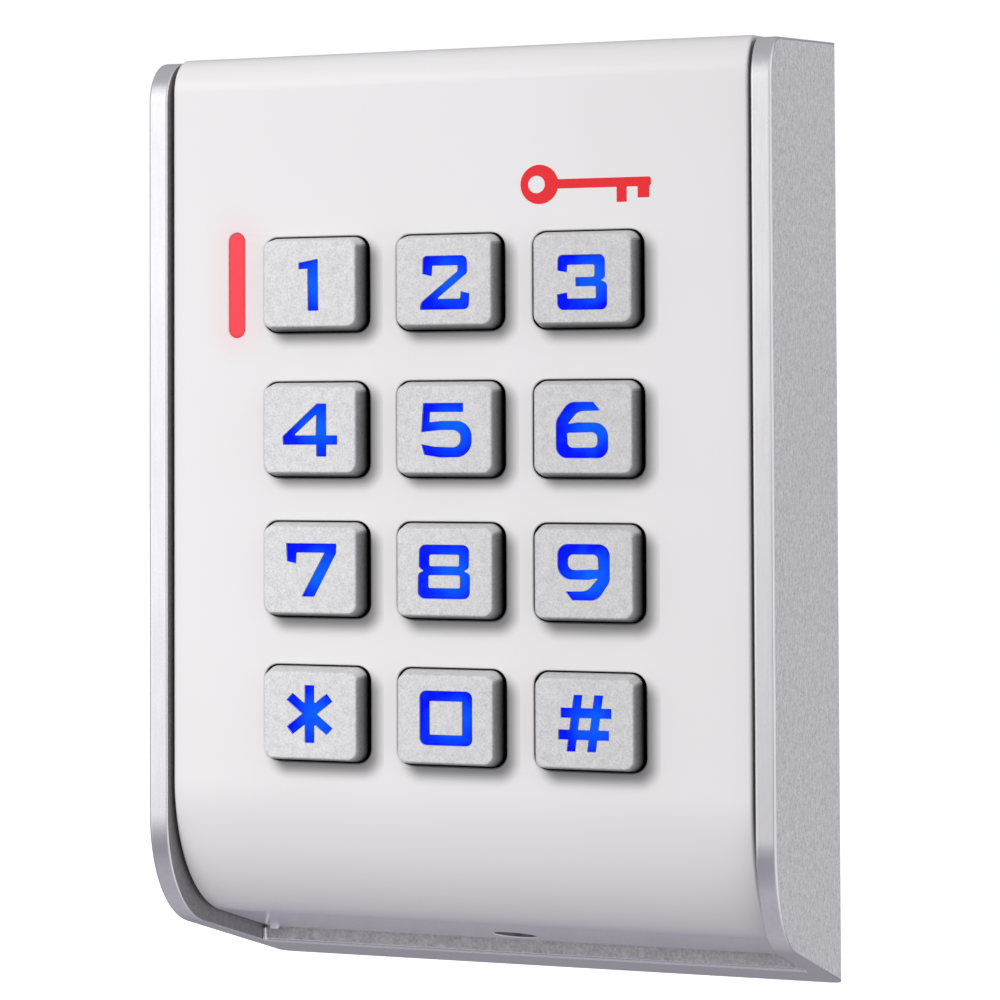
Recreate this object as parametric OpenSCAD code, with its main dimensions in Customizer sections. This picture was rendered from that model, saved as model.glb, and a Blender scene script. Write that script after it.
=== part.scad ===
// Wall-mounted keypad access reader: silver housing with two side cheeks,
// a gloss front cover between them, twelve sprung keys, a status bar,
// two circuit boards and a wall plate held by one security screw.
// Frame: +X to the right seen from the front, +Y into the wall, +Z up.
// Origin: centre of the back face, where the wall plate lies on the wall.

/* [Body] */
// Width over the two cheeks
body_w = 77; // [74:0.5:82]
// Height at the back face
body_h = 120.3; // [118:0.1:124]
// Depth from the wall to the front edge of the cheeks
body_d = 42.5; // [41:0.5:45]
// Slope of the top face in degrees
top_slope = 6.4; // [5.5:0.1:7]
// Slope of the underside in degrees
under_slope = 17.1; // [16.5:0.1:17.5]
// Radius where the cheek's front edge turns into the top
cheek_r_top = 5.5; // [4:0.5:7]
// Radius where the cheek's front edge turns into the underside
cheek_r_under = 15.5; // [13:0.5:17]
// Thickness of each cheek
cheek_t = 2.4; // [2:0.1:2.8]
// Radius of the upright back edges
back_edge_r = 2; // [1:0.5:2.5]
// Thickness of the housing's top and bottom walls
wall_t = 2.3; // [2:0.1:2.6]

/* [Cover] */
// Distance of the cover's face behind the cheeks' front edge
cover_set = 0.8; // [0.5:0.1:1.2]
// Gap between the cover and each cheek
cover_gap = 0.45; // [0.3:0.05:0.6]
// Thickness of the cover
cover_t = 2.2; // [2:0.1:2.4]
// Radius at the cover's top edge
cover_r_top = 4.6; // [3.5:0.1:5.5]
// Radius at the cover's lower edge
cover_r_under = 19; // [17:0.5:20]
// Rise of the cover's front top corner over the cheeks
cover_crown = 0.35; // [0:0.05:0.5]
// Step of the cover's underside above the cheeks' underside
cover_lift = 2; // [1.6:0.1:2.4]
// Length of the cover's underside, from the cheeks' front edge
under_end = 30.4; // [29.5:0.1:31]
// Length of the cover's top, from the cheeks' front edge
top_end = 34.5; // [33:0.5:35]

/* [Keypad] */
// Key spacing across
pitch_x = 16.8; // [16.6:0.1:17.4]
// Key spacing down
pitch_z = 17.1; // [17:0.1:17.6]
// Keypad centre across
pad_x = -0.2; // [-0.5:0.1:0.5]
// Keypad centre up
pad_z = 2.55; // [2:0.05:3]
// Key cap width at its root
cap_w = 12.6; // [12:0.1:12.8]
// Key cap height at its root
cap_h = 11.2; // [10.8:0.1:11.4]
// Key cap corner radius
cap_r = 1.6; // [1:0.1:1.8]
// Inset of each side of a cap at its face
cap_draft = 0.45; // [0.3:0.05:0.5]
// Height of the caps over the cover's face
cap_proud = 2.5; // [2.2:0.1:2.8]
// Gap between a cap and its window across
cap_gap_x = 0.45; // [0.35:0.05:0.55]
// Gap between a cap and its window up
cap_gap_z = 0.25; // [0.2:0.05:0.35]
// Key travel
travel = 1.2; // [0.8:0.1:1.2]
// Depth of the legend pocket in a cap
legend_pocket = 0.8; // [0.6:0.1:1]
// Depth of the legend's face below the cap's face
legend_set = 0.3; // [0.2:0.05:0.4]

/* [Status bar] */
// Centre of the status bar across
bar_x = -27.3; // [-28:0.1:-27]
// Width of the status bar
bar_w = 2; // [1.8:0.1:2.2]
// Height of the status bar
bar_h = 12.6; // [11.5:0.1:13]

/* [Wall plate] */
// Thickness of the wall plate
plate_t = 2; // [1.8:0.1:2.2]
// Radius of the wall screw holes
wall_hole_r = 2.25; // [2:0.05:2.5]
// Spacing of the outer wall screw holes across
wall_dx = 50; // [46:1:52]
// Spacing of the outer wall screw holes up
wall_dz = 84; // [80:1:86]
// Spacing of the two wall-box screw holes
box_dz = 60; // [58:0.5:62]
// Radius of the cable bore in the grommet
cable_r = 4; // [3:0.25:4.5]

/* [Hidden] */
$fn = 48;

D = body_d;
hw = body_w / 2;
// Height of the top line and of the underside line at the front edge
top0 = body_h / 2 - D * tan(top_slope);
under0 = -body_h / 2 + D * tan(under_slope);
cov_hw = hw - cheek_t - cover_gap;
cov_under0 = under0 + cover_lift;
cov_top0 = top0 + cover_crown;
cov_slope = atan((top0 + top_end * tan(top_slope) - cov_top0) / top_end);
step_u = under_end + 0.4;      // front of the housing's step wall

// Depths along Y, counted from the wall
y_cover = -D + cover_set;      // cover's front face
y_cover_in = y_cover + cover_t;
y_cap = y_cover - cap_proud;   // cap's front face
y_flange = y_cover_in + 0.2;   // front of the key flange
y_flange_b = y_flange + 1;
y_board = y_flange_b + 4.5;    // key board's front face
y_board_b = y_board + 1.6;
y_main = y_board_b + 10;       // main board's front face
y_main_b = y_main + 1.6;
y_lug = -13.5;                 // front of the lugs for the cover screws

win_w = cap_w + 2 * cap_gap_x;
win_h = cap_h + 2 * cap_gap_z;
bar_z = pad_z + 1.5 * pitch_z;

// Places of the posts and screws
post_pts = [[-31.2, -46.8], [31.2, -46.8], [-31.2, 51.2], [31.2, 51.2]];
boss_pts = [[-26.8, -33.1], [26.8, -33.1], [-26.8, 39], [26.8, 39]];
sec_y = -D + 25.3;             // axis of the security screw
sec_z = -48.6;                 // seat of its head

function arc(c, r, a0, a1, n) =
  [for (i = [0:n]) [c[0] + r * cos(a0 + (a1 - a0) * i / n),
                    c[1] + r * sin(a0 + (a1 - a0) * i / n)]];

// Side outline, as points [depth behind the cheeks' front edge, height]:
// a front line at uf, a top line from t0 that climbs at ta, an underside
// line from b0 that falls at ba, cut off at ub, and two rounded corners.
function side(uf, t0, ta, rt, b0, ba, rb, ub) =
  let (ct = [uf + rt, t0 + tan(ta) * (uf + rt) - rt / cos(ta)],
       cb = [uf + rb, b0 - tan(ba) * (uf + rb) + rb / cos(ba)])
  concat([[ub, t0 + tan(ta) * ub]],
         arc(ct, rt, 90 + ta, 180, 12),
         arc(cb, rb, 180, 270 - ba, 20),
         [[ub, b0 - tan(ba) * ub]]);

// Draws a side outline at its depth and pulls it from x0 to x1
module across(x0, x1) {
  translate([x0, -D, 0]) rotate([90, 0, 90]) linear_extrude(x1 - x0) children();
}
// Draws a front-view shape and pulls it from y0 back to y1
module slab(y0, y1) {
  translate([0, y1, 0]) rotate([90, 0, 0]) linear_extrude(y1 - y0) children();
}
module rod(x, z, y0, y1, r) {
  translate([x, y1, z]) rotate([90, 0, 0]) cylinder(r = r, h = y1 - y0);
}
module brick(x0, x1, y0, y1, z0, z1) {
  translate([x0, y0, z0]) cube([x1 - x0, y1 - y0, z1 - z0]);
}
module rrect(w, h, r) {
  square([w - 2 * r, h], center = true);
  square([w, h - 2 * r], center = true);
  for (sx = [-1, 1], sz = [-1, 1])
    translate([sx * (w / 2 - r), sz * (h / 2 - r)]) circle(r = r);
}
module stadium(w, h) {
  square([w, h - w], center = true);
  for (s = [-1, 1]) translate([0, s * (h - w) / 2]) circle(r = w / 2);
}
module at_keys() {
  for (c = [-1:1], r = [-1.5:1.5])
    translate([pad_x + c * pitch_x, pad_z + r * pitch_z]) children();
}

// ---------------------------------------------------------------- housing
module housing() {
  color("silver") difference() {
    union() {
      // two cheeks, with upright back edges rounded
      intersection() {
        union() for (s = [-1, 1])
          across(s < 0 ? -hw : hw - cheek_t, s < 0 ? -hw + cheek_t : hw)
            polygon(side(0, top0, top_slope, cheek_r_top,
                         under0, under_slope, cheek_r_under, D));
        translate([0, 0, -body_h / 2 - 1]) linear_extrude(body_h + 2) {
          translate([-hw, -D - 1]) square([body_w, D + 1 - back_edge_r]);
          translate([-hw + back_edge_r, -D - 1])
            square([body_w - 2 * back_edge_r, D + 1]);
          for (s = [-1, 1]) translate([s * (hw - back_edge_r), -back_edge_r])
            circle(r = back_edge_r);
        }
      }
      // bottom wall with the upright step behind the cover's edge
      across(-hw + cheek_t - 0.2, hw - cheek_t + 0.2) polygon([
        [step_u, under0 - tan(under_slope) * step_u],
        [D, under0 - tan(under_slope) * D],
        [D, under0 - tan(under_slope) * D + wall_t],
        [step_u + 1.8, under0 - tan(under_slope) * (step_u + 1.8) + wall_t],
        [step_u + 1.8, -51.6], [step_u, -51.6]]);
      // top wall behind the cover
      across(-hw + cheek_t - 0.2, hw - cheek_t + 0.2) polygon([
        [top_end + 0.4, top0 + tan(top_slope) * (top_end + 0.4)],
        [D, top0 + tan(top_slope) * D],
        [D, top0 + tan(top_slope) * D - wall_t],
        [top_end + 0.4, top0 + tan(top_slope) * (top_end + 0.4) - wall_t]]);
      // inner flange that the rear seal presses on
      slab(-5, -3.5) difference() {
        translate([-hw + cheek_t - 0.2, -57])
          square([body_w - 2 * cheek_t + 0.4, 115]);
        translate([-33.1, -53.6]) square([66.2, 108.5]);
      }
      // lugs for the cover screws
      for (p = post_pts) {
        s = p[0] < 0 ? -1 : 1;
        brick(s < 0 ? -hw + cheek_t - 0.2 : 27.4, s < 0 ? -27.4 : hw - cheek_t + 0.2,
              y_lug, y_lug + 2, p[1] - 3.8, p[1] + 3.8);
      }
      // small upright ribs that locate the cover's lower corners
      for (s = [-1, 1])
        brick(s < 0 ? -hw + cheek_t - 0.2 : hw - cheek_t - 0.7,
              s < 0 ? -hw + cheek_t + 0.7 : hw - cheek_t + 0.2,
              -D + step_u - 0.9, -D + step_u + 0.2,
              under0 - tan(under_slope) * step_u + 0.35, -54.75);
    }
    for (p = post_pts) rod(p[0], p[1], y_lug - 1, y_lug + 3, 1.6);
  }
}

// ------------------------------------------------------------ front cover
module cover_outer(ub) {
  polygon(side(cover_set, cov_top0, cov_slope, cover_r_top,
               cov_under0, under_slope, cover_r_under, ub));
}
module front_cover() {
  color("white") difference() {
    union() {
      // face, top and underside
      difference() {
        across(-cov_hw, cov_hw) cover_outer(top_end);
        across(-cov_hw + 1.8, cov_hw - 1.8)
          polygon(side(cover_set + cover_t, cov_top0 - cover_t / cos(cov_slope),
                       cov_slope, cover_r_top - cover_t,
                       cov_under0 + cover_t / cos(under_slope), under_slope,
                       cover_r_under - cover_t, D));
        // sides stop short of the lugs, underside stops at the step wall
        brick(-cov_hw - 1, cov_hw + 1, -D + 24, 0, -51, 55.3);
        brick(-cov_hw - 1, cov_hw + 1, -D + under_end, 0, -60, 0);
      }
      // posts, bosses and the screw seat, kept inside the outer shape
      intersection() {
        across(-cov_hw, cov_hw) cover_outer(top_end);
        union() {
          for (p = post_pts)
            rod(p[0], p[1], p[1] < 0 ? -D + 16 : -D + 2, y_lug - 0.2, 2.7);
          for (p = boss_pts) rod(p[0], p[1], y_cover + 1, y_board, 2.5);
          translate([0, sec_y, -56]) cylinder(r = 4.4, h = 56 + sec_z + 1);
        }
      }
      // snap tabs on the lower edge
      for (s = [-1, 1]) brick(s * 34.4 - 0.55, s * 34.4 + 0.55,
        -D + under_end - 0.8, -D + under_end,
        cov_under0 - tan(under_slope) * under_end - 0.35,
        cov_under0 - tan(under_slope) * under_end + 1);
    }
    slab(y_cover - 1, y_cover_in + 0.5) at_keys() rrect(win_w, win_h, cap_r + 0.3);
    slab(y_cover - 1, y_cover_in + 0.5)
      translate([bar_x, bar_z]) stadium(bar_w + 0.1, bar_h + 0.1);
    for (p = post_pts) rod(p[0], p[1], y_lug - 12, y_lug, 1.15);
    for (p = boss_pts) rod(p[0], p[1], y_board - 4.6, y_board + 1, 1.3);
    translate([0, sec_y, -60]) cylinder(r = 2.7, h = 60 + sec_z);
    translate([0, sec_y, -60]) cylinder(r = 1.7, h = 20);
  }
}

module status_lens() {
  color("red") {
    slab(y_cover + 0.12, y_cover_in)
      translate([bar_x, bar_z]) stadium(bar_w, bar_h);
    slab(y_cover_in, y_cover_in + 1)
      translate([bar_x, bar_z]) stadium(bar_w + 1.9, bar_h + 1.9);
    slab(y_cover_in + 1, y_board - 1.2)
      translate([bar_x, bar_z]) stadium(bar_w - 0.4, bar_h - 0.4);
  }
}

// ------------------------------------------------------- plate and fixings
module back_plate() {
  color("dimgray") difference() {
    union() {
      slab(-plate_t, 0) translate([0, 0.2]) rrect(71.2, 114.4, 2);
      // top hooks that catch behind the housing's flange
      for (s = [-1, 1]) {
        brick(s * 20 - 4, s * 20 + 4, -7, -plate_t + 0.2, 52.7, 54.5);
        brick(s * 20 - 4, s * 20 + 4, -7, -5.3, 54.3, 56.4);
      }
      // bracket for the security screw
      brick(-6, 6, sec_y - 5, -plate_t + 0.2, sec_z + 1.2, sec_z + 3.4);
      for (s = [-1, 1]) brick(s * 5.2 - 0.8, s * 5.2 + 0.8, -14, -plate_t + 0.2,
                              sec_z + 3.2, sec_z + 8);
    }
    translate([0, sec_y, sec_z]) cylinder(r = 1.55, h = 6);
    for (sx = [-1, 1], sz = [-1, 1])
      rod(sx * wall_dx / 2, sz * wall_dz / 2, -plate_t - 1, 1, wall_hole_r);
    for (sz = [-1, 1]) rod(0, sz * box_dz / 2, -plate_t - 1, 1, wall_hole_r);
    rod(0, 8, -plate_t - 1, 1, 6.05);
    rod(0, 8, -1, 1, 6.75);
    rod(-20, -12, -plate_t - 1, 1, 3.5);
  }
}
module rear_seal() {
  color("black") slab(-3.5, -plate_t) difference() {
    translate([0, 0.35]) rrect(70.6, 113.7, 2);
    translate([-33.4, -54.9]) square([66.8, 110.2]);
  }
}
module cable_grommet() {
  color("black") difference() {
    union() {
      rod(0, 8, -plate_t - 1.4, -plate_t, 7.6);
      rod(0, 8, -plate_t - 0.1, -0.9, 6);
      rod(0, 8, -1, -0.1, 6.65);
    }
    rod(0, 8, -plate_t - 2, 1, cable_r);
  }
}
module security_screw() {
  color("silver") translate([0, sec_y, sec_z]) difference() {
    union() {
      translate([0, 0, -1.8]) cylinder(r = 2.45, h = 1.8);
      cylinder(r = 1.5, h = 5.4);
    }
    // six-sided socket round a centre pin
    difference() {
      translate([0, 0, -2.8]) cylinder(r = 1.25, h = 2.2, $fn = 6);
      translate([0, 0, -1.7]) cylinder(r = 0.4, h = 1.3);
    }
  }
}
module cross(r, h) {
  brick(-r, r, 0, h, -0.3, 0.3);
  brick(-0.3, 0.3, 0, h, -r, r);
}
module cover_screws() {
  color("silver") for (p = post_pts) difference() {
    union() {
      rod(p[0], p[1], y_lug + 2, y_lug + 3.8, 2.7);
      rod(p[0], p[1], y_lug - 10, y_lug + 2, 1.1);
    }
    translate([p[0], y_lug + 2.8, p[1]]) cross(1.5, 2);
  }
}

// ------------------------------------------------------------- electronics
module key_mat() {
  color("whitesmoke") slab(y_board - 1.2, y_board) difference() {
    translate([pad_x, pad_z]) rrect(50.2, 66, 2);
    at_keys() rrect(11, 9.4, 1);
  }
}
module board_outline(z0, z1) {
  difference() {
    translate([0, (z0 + z1) / 2]) rrect(65, z1 - z0, 2);
    for (p = boss_pts) translate(p) circle(r = 1.4);
  }
}
module key_board() {
  color("darkgreen") slab(y_board, y_board_b) board_outline(-41, 47);
}
module main_board() {
  color("darkgreen") slab(y_main, y_main_b) board_outline(-40, 46);
}
module key_leds() {
  color("aliceblue") for (c = [-1:1], r = [-1.5:1.5], s = [-1, 1])
    translate([pad_x + c * pitch_x + s * 4.3, y_board - 0.6, pad_z + r * pitch_z - 0.8])
      translate([-0.4, 0, 0]) cube([0.8, 0.6, 1.6]);
}
module status_leds() {
  color("red") for (s = [-1, 1])
    brick(bar_x - 0.6, bar_x + 0.6, y_board - 0.8, y_board,
          bar_z + s * 3.2 - 1, bar_z + s * 3.2 + 1);
}
module reader_coil() {
  color("chocolate") slab(y_board - 2.2, y_board) difference() {
    translate([0, 3]) rrect(64.4, 83, 3);
    translate([0, 3]) rrect(59.2, 77.8, 1.5);
  }
}
module board_standoffs() {
  color("gold") for (p = boss_pts) difference() {
    union() {
      translate([p[0], y_main, p[1]]) rotate([90, 0, 0])
        cylinder(r = 2.6, h = y_main - y_board_b, $fn = 6);
      rod(p[0], p[1], y_board - 4, y_board_b + 0.1, 1.25);
    }
    rod(p[0], p[1], y_main - 6, y_main + 1, 1.3);
  }
}
module board_screws() {
  color("silver") for (p = boss_pts) difference() {
    union() {
      rod(p[0], p[1], y_main_b, y_main_b + 1.7, 2.3);
      rod(p[0], p[1], y_main - 5, y_main_b, 1.25);
    }
    translate([p[0], y_main_b + 0.8, p[1]]) cross(1.3, 2);
  }
}
module board_header() {
  color("black") {
    brick(-15.3, 15.3, y_board_b, y_board_b + 2.5, -38.6, -36);
    brick(-15.3, 15.3, y_main - 5.5, y_main, -38.6, -36);
    for (i = [-5.5:5.5])
      brick(i * 2.54 - 0.32, i * 2.54 + 0.32, y_board_b + 2.4, y_main - 5.4,
            -37.62, -36.98);
  }
}
module mcu_chip() {
  color("black") {
    brick(-5, 5, y_main - 1.5, y_main - 0.1, -15, -5);
    for (i = [-3.5:3.5], s = [-1, 1]) {
      brick(s < 0 ? -6 : 4.8, s < 0 ? -4.8 : 6, y_main - 0.5, y_main,
            -10 + i * 1.1 - 0.2, -10 + i * 1.1 + 0.2);
      brick(i * 1.1 - 0.2, i * 1.1 + 0.2, y_main - 0.5, y_main,
            s < 0 ? -16 : -5.2, s < 0 ? -14.8 : -4);
    }
  }
}
module relay() {
  color("royalblue") {
    brick(10.4, 29.6, y_main_b + 0.4, y_main_b + 15, 14, 29.4);
    for (p = [[12, 16], [12, 27.4], [28, 16], [28, 27.4], [28, 21.7]])
      brick(p[0] - 0.5, p[0] + 0.5, y_main_b, y_main_b + 0.5, p[1] - 0.3, p[1] + 0.3);
  }
}
module buzzer() {
  color("black") difference() {
    rod(-19, 27, y_main_b, y_main_b + 9.5, 6);
    rod(-19, 27, y_main_b + 7.5, y_main_b + 11, 1.2);
  }
}
module terminal_block() {
  color("green") difference() {
    brick(-20.3, 20.3, y_main_b, y_main_b + 10, -36, -28);
    for (i = [-3.5:3.5]) {
      rod(i * 5, -32.6, y_main_b + 6.5, y_main_b + 11, 1.8);
      brick(i * 5 - 1.7, i * 5 + 1.7, y_main_b + 2, y_main_b + 5.5, -37, -31);
    }
  }
}
module capacitors() {
  color("lightsteelblue") for (x = [-26, -16]) {
    rod(x, 6, y_main_b, y_main_b + 1, 3.6);
    rod(x, 6, y_main_b + 1, y_main_b + 11, 4);
  }
}
module tamper_sensor() {
  color("tan") {
    rod(-20, -12, -9.5, -7.4, 2.5);
    for (s = [-1, 1]) rod(-20 + s * 1.3, -12, y_main_b, -9.4, 0.3);
  }
}

// -------------------------------------------------------------------- keys
lw = 1.2; // stroke of the legends

module six() {
  difference() {
    polygon([[1.5, 3.25], [-1, 3.25], [-2.2, 2.75], [-3.2, 1], [-3.2, -2.6],
             [-2.6, -3.2], [2.6, -3.2], [3.2, -2.6], [3.2, 0.2], [2.6, 0.8],
             [-1.8, 0.8], [-1.5, 1.35], [-0.7, 2.15], [2.25, 2.15]]);
    polygon([[-1.9, -0.3], [1.9, -0.3], [1.9, -1.95], [-1.9, -1.95]]);
  }
}
module glyph(g) {
  if (g == "1") polygon([[-1.2, 1.75], [-1.2, 2.6], [1.2, 3.15], [1.2, -3.15],
    [0, -3.15], [0, 1.75]]);
  if (g == "2") polygon([[-2.75, 3.15], [2.6, 3.15], [3.05, 2.7], [3.05, 0.95],
    [-1, -1.95], [1.85, -1.95], [1.85, -1.3], [3.05, -1], [3.05, -2.7],
    [2.6, -3.15], [-3.05, -3.15], [-3.05, -1.6], [1.8, 1.35], [1.8, 2],
    [-1.8, 2], [-1.8, 1.3], [-3.05, 1.05], [-3.05, 2.85]]);
  if (g == "3") polygon([[-2.6, 3.15], [2.5, 3.15], [2.95, 2.7], [2.95, 0.75],
    [2.4, 0.15], [3.05, -0.45], [3.05, -2.7], [2.6, -3.15], [-2.7, -3.15],
    [-3.1, -2.75], [-3.1, -1.4], [-1.9, -1.15], [-1.9, -1.95], [1.85, -1.95],
    [1.85, -0.45], [-0.75, -0.45], [-0.75, 0.65], [1.75, 0.65], [1.75, 2],
    [-1.8, 2], [-1.8, 1.35], [-3, 1.2], [-3, 2.75]]);
  if (g == "4") difference() {
    polygon([[0.6, 3.15], [2, 3.15], [2, -0.65], [3.4, -0.65], [3.4, -1.75],
      [2, -1.75], [2, -3.15], [0.75, -3.15], [0.75, -1.75], [-3.4, -1.75],
      [-3.4, -0.8]]);
    polygon([[0.75, 1.85], [0.75, -0.65], [-2.05, -0.65]]);
  }
  if (g == "5") polygon([[-2.9, 3.15], [2.15, 3.15], [2.15, 2.05], [-1.75, 2.05],
    [-1.75, 0.85], [2.55, 0.85], [3.1, 0.3], [3.1, -2.6], [2.55, -3.15],
    [-2.7, -3.15], [-3.1, -2.75], [-3.1, -1.5], [-1.9, -1.3], [-1.9, -2.05],
    [1.85, -2.05], [1.85, -0.25], [-2.9, -0.25]]);
  if (g == "6") six();
  if (g == "7") polygon([[-3.1, 3.15], [3.1, 3.15], [3.1, 2], [0.35, -3.15],
    [-1.2, -3.15], [1.65, 2], [-1.85, 2], [-1.85, 0.7], [-3.1, 1]]);
  if (g == "8") difference() {
    polygon([[-2.5, 3.2], [2.5, 3.2], [3, 2.7], [3, 0.75], [2.45, 0.15],
      [3.2, -0.5], [3.2, -2.65], [2.65, -3.2], [-2.65, -3.2], [-3.2, -2.65],
      [-3.2, -0.5], [-2.45, 0.15], [-3, 0.75], [-3, 2.7]]);
    polygon([[-1.75, 2], [1.75, 2], [1.75, 0.7], [-1.75, 0.7]]);
    polygon([[-1.95, -0.45], [1.95, -0.45], [1.95, -1.95], [-1.95, -1.95]]);
  }
  if (g == "9") rotate(180) six();
  if (g == "0") difference() {
    polygon([[-2.6, 3.2], [2.6, 3.2], [3.2, 2.6], [3.2, -2.6], [2.6, -3.2],
      [-2.6, -3.2], [-3.2, -2.6], [-3.2, 2.6]]);
    square([4, 3.9], center = true);
  }
  if (g == "star") for (a = [90, 40, -40]) rotate(a)
    square([a == 90 ? 6.8 : 6.3, lw - 0.05], center = true);
  if (g == "hash") difference() {
    polygon([
      vbar(-1, 1, 3.25), vbar(-1, -1, 3.25), vbar(-1, -1, 1.75), [-2.9, 1.75],
      [-2.9, 0.6], vbar(-1, -1, 0.6), vbar(-1, -1, -0.75), [-3.2, -0.75],
      [-3.2, -1.9], vbar(-1, -1, -1.9), vbar(-1, -1, -3.25), vbar(-1, 1, -3.25),
      vbar(-1, 1, -1.9), vbar(1, -1, -1.9), vbar(1, -1, -3.25), vbar(1, 1, -3.25),
      vbar(1, 1, -1.9), [2.9, -1.9], [2.9, -0.75], vbar(1, 1, -0.75),
      vbar(1, 1, 0.6), [3.2, 0.6], [3.2, 1.75], vbar(1, 1, 1.75),
      vbar(1, 1, 3.25), vbar(1, -1, 3.25), vbar(1, -1, 1.75), vbar(-1, 1, 1.75)]);
    polygon([vbar(-1, 1, 0.6), vbar(1, -1, 0.6), vbar(1, -1, -0.75),
             vbar(-1, 1, -0.75)]);
  }
}
// A point on an edge of one of the two slanting bars of the hash, at height z
function vbar(bar, edge, z) = [bar * 1.24 + edge * 0.52 + 0.14 * z, z];
module at_key(c, r) {
  translate([pad_x + c * pitch_x, 0, pad_z + r * pitch_z]) children();
}
module cap(g, c, r) {
  color("lightgray") at_key(c, r) difference() {
    union() {
      // the sides are drafted from the cover's face outwards
      intersection() {
        slab(y_cap, y_flange + 0.1) rrect(cap_w, cap_h, cap_r);
        translate([0, 0, -cap_h]) linear_extrude(2 * cap_h)
          polygon([[-cap_w / 2 + cap_draft, y_cap], [cap_w / 2 - cap_draft, y_cap],
                   [cap_w / 2 + 0.02, y_cover], [cap_w / 2 + 0.02, y_flange + 0.2],
                   [-cap_w / 2 - 0.02, y_flange + 0.2], [-cap_w / 2 - 0.02, y_cover]]);
        translate([-cap_w, 0, 0]) rotate([90, 0, 90]) linear_extrude(2 * cap_w)
          polygon([[y_cap, -cap_h / 2 + cap_draft], [y_cover, -cap_h / 2 - 0.02],
                   [y_flange + 0.2, -cap_h / 2 - 0.02], [y_flange + 0.2, cap_h / 2 + 0.02],
                   [y_cover, cap_h / 2 + 0.02], [y_cap, cap_h / 2 - cap_draft]]);
      }
      slab(y_flange, y_flange_b) rrect(cap_w + 2.4, cap_h + 2.4, cap_r);
    }
    slab(y_cap + 2.3, y_flange_b + 1) rrect(9.4, 7.8, 0.8);
    slab(y_cap - 1, y_cap + legend_pocket) translate([0.1, -0.15]) glyph(g);
  }
}
module legend(g, c, r) {
  color("blue") at_key(c, r)
    slab(y_cap + legend_set, y_cap + legend_pocket)
      translate([0.1, -0.15]) glyph(g);
}
module plunger(c, r) {
  color("whitesmoke") at_key(c, r) {
    slab(y_cap + 2.3, y_flange_b) rrect(9.2, 7.6, 0.7);
    rod(0, 0, y_flange_b - 0.1, y_flange_b + 2.8, 3);
    rod(0, 0, y_flange_b + 2.7, y_flange_b + 3.2, 2);
  }
}

module key_1_cap() { cap("1", -1, 1.5); }
module key_1_legend() { legend("1", -1, 1.5); }
module key_1_plunger() { plunger(-1, 1.5); }
module key_2_cap() { cap("2", 0, 1.5); }
module key_2_legend() { legend("2", 0, 1.5); }
module key_2_plunger() { plunger(0, 1.5); }
module key_3_cap() { cap("3", 1, 1.5); }
module key_3_legend() { legend("3", 1, 1.5); }
module key_3_plunger() { plunger(1, 1.5); }
module key_4_cap() { cap("4", -1, 0.5); }
module key_4_legend() { legend("4", -1, 0.5); }
module key_4_plunger() { plunger(-1, 0.5); }
module key_5_cap() { cap("5", 0, 0.5); }
module key_5_legend() { legend("5", 0, 0.5); }
module key_5_plunger() { plunger(0, 0.5); }
module key_6_cap() { cap("6", 1, 0.5); }
module key_6_legend() { legend("6", 1, 0.5); }
module key_6_plunger() { plunger(1, 0.5); }
module key_7_cap() { cap("7", -1, -0.5); }
module key_7_legend() { legend("7", -1, -0.5); }
module key_7_plunger() { plunger(-1, -0.5); }
module key_8_cap() { cap("8", 0, -0.5); }
module key_8_legend() { legend("8", 0, -0.5); }
module key_8_plunger() { plunger(0, -0.5); }
module key_9_cap() { cap("9", 1, -0.5); }
module key_9_legend() { legend("9", 1, -0.5); }
module key_9_plunger() { plunger(1, -0.5); }
module key_star_cap() { cap("star", -1, -1.5); }
module key_star_legend() { legend("star", -1, -1.5); }
module key_star_plunger() { plunger(-1, -1.5); }
module key_0_cap() { cap("0", 0, -1.5); }
module key_0_legend() { legend("0", 0, -1.5); }
module key_0_plunger() { plunger(0, -1.5); }
module key_hash_cap() { cap("hash", 1, -1.5); }
module key_hash_legend() { legend("hash", 1, -1.5); }
module key_hash_plunger() { plunger(1, -1.5); }

housing();
front_cover();
status_lens();
back_plate();
rear_seal();
cable_grommet();
security_screw();
cover_screws();
key_mat();
key_board();
key_leds();
status_leds();
reader_coil();
board_standoffs();
board_screws();
main_board();
board_header();
mcu_chip();
relay();
buzzer();
terminal_block();
capacitors();
tamper_sensor();
key_1_cap();
key_1_legend();
key_1_plunger();
key_2_cap();
key_2_legend();
key_2_plunger();
key_3_cap();
key_3_legend();
key_3_plunger();
key_4_cap();
key_4_legend();
key_4_plunger();
key_5_cap();
key_5_legend();
key_5_plunger();
key_6_cap();
key_6_legend();
key_6_plunger();
key_7_cap();
key_7_legend();
key_7_plunger();
key_8_cap();
key_8_legend();
key_8_plunger();
key_9_cap();
key_9_legend();
key_9_plunger();
key_star_cap();
key_star_legend();
key_star_plunger();
key_0_cap();
key_0_legend();
key_0_plunger();
key_hash_cap();
key_hash_legend();
key_hash_plunger();
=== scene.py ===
# Looks of the wall keypad reader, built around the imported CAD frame.
# Lengths in the mesh code are millimetres in the row frame; MM turns them into metres.
import math

import bmesh
import bpy
from mathutils import Matrix, Vector, geometry


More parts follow.
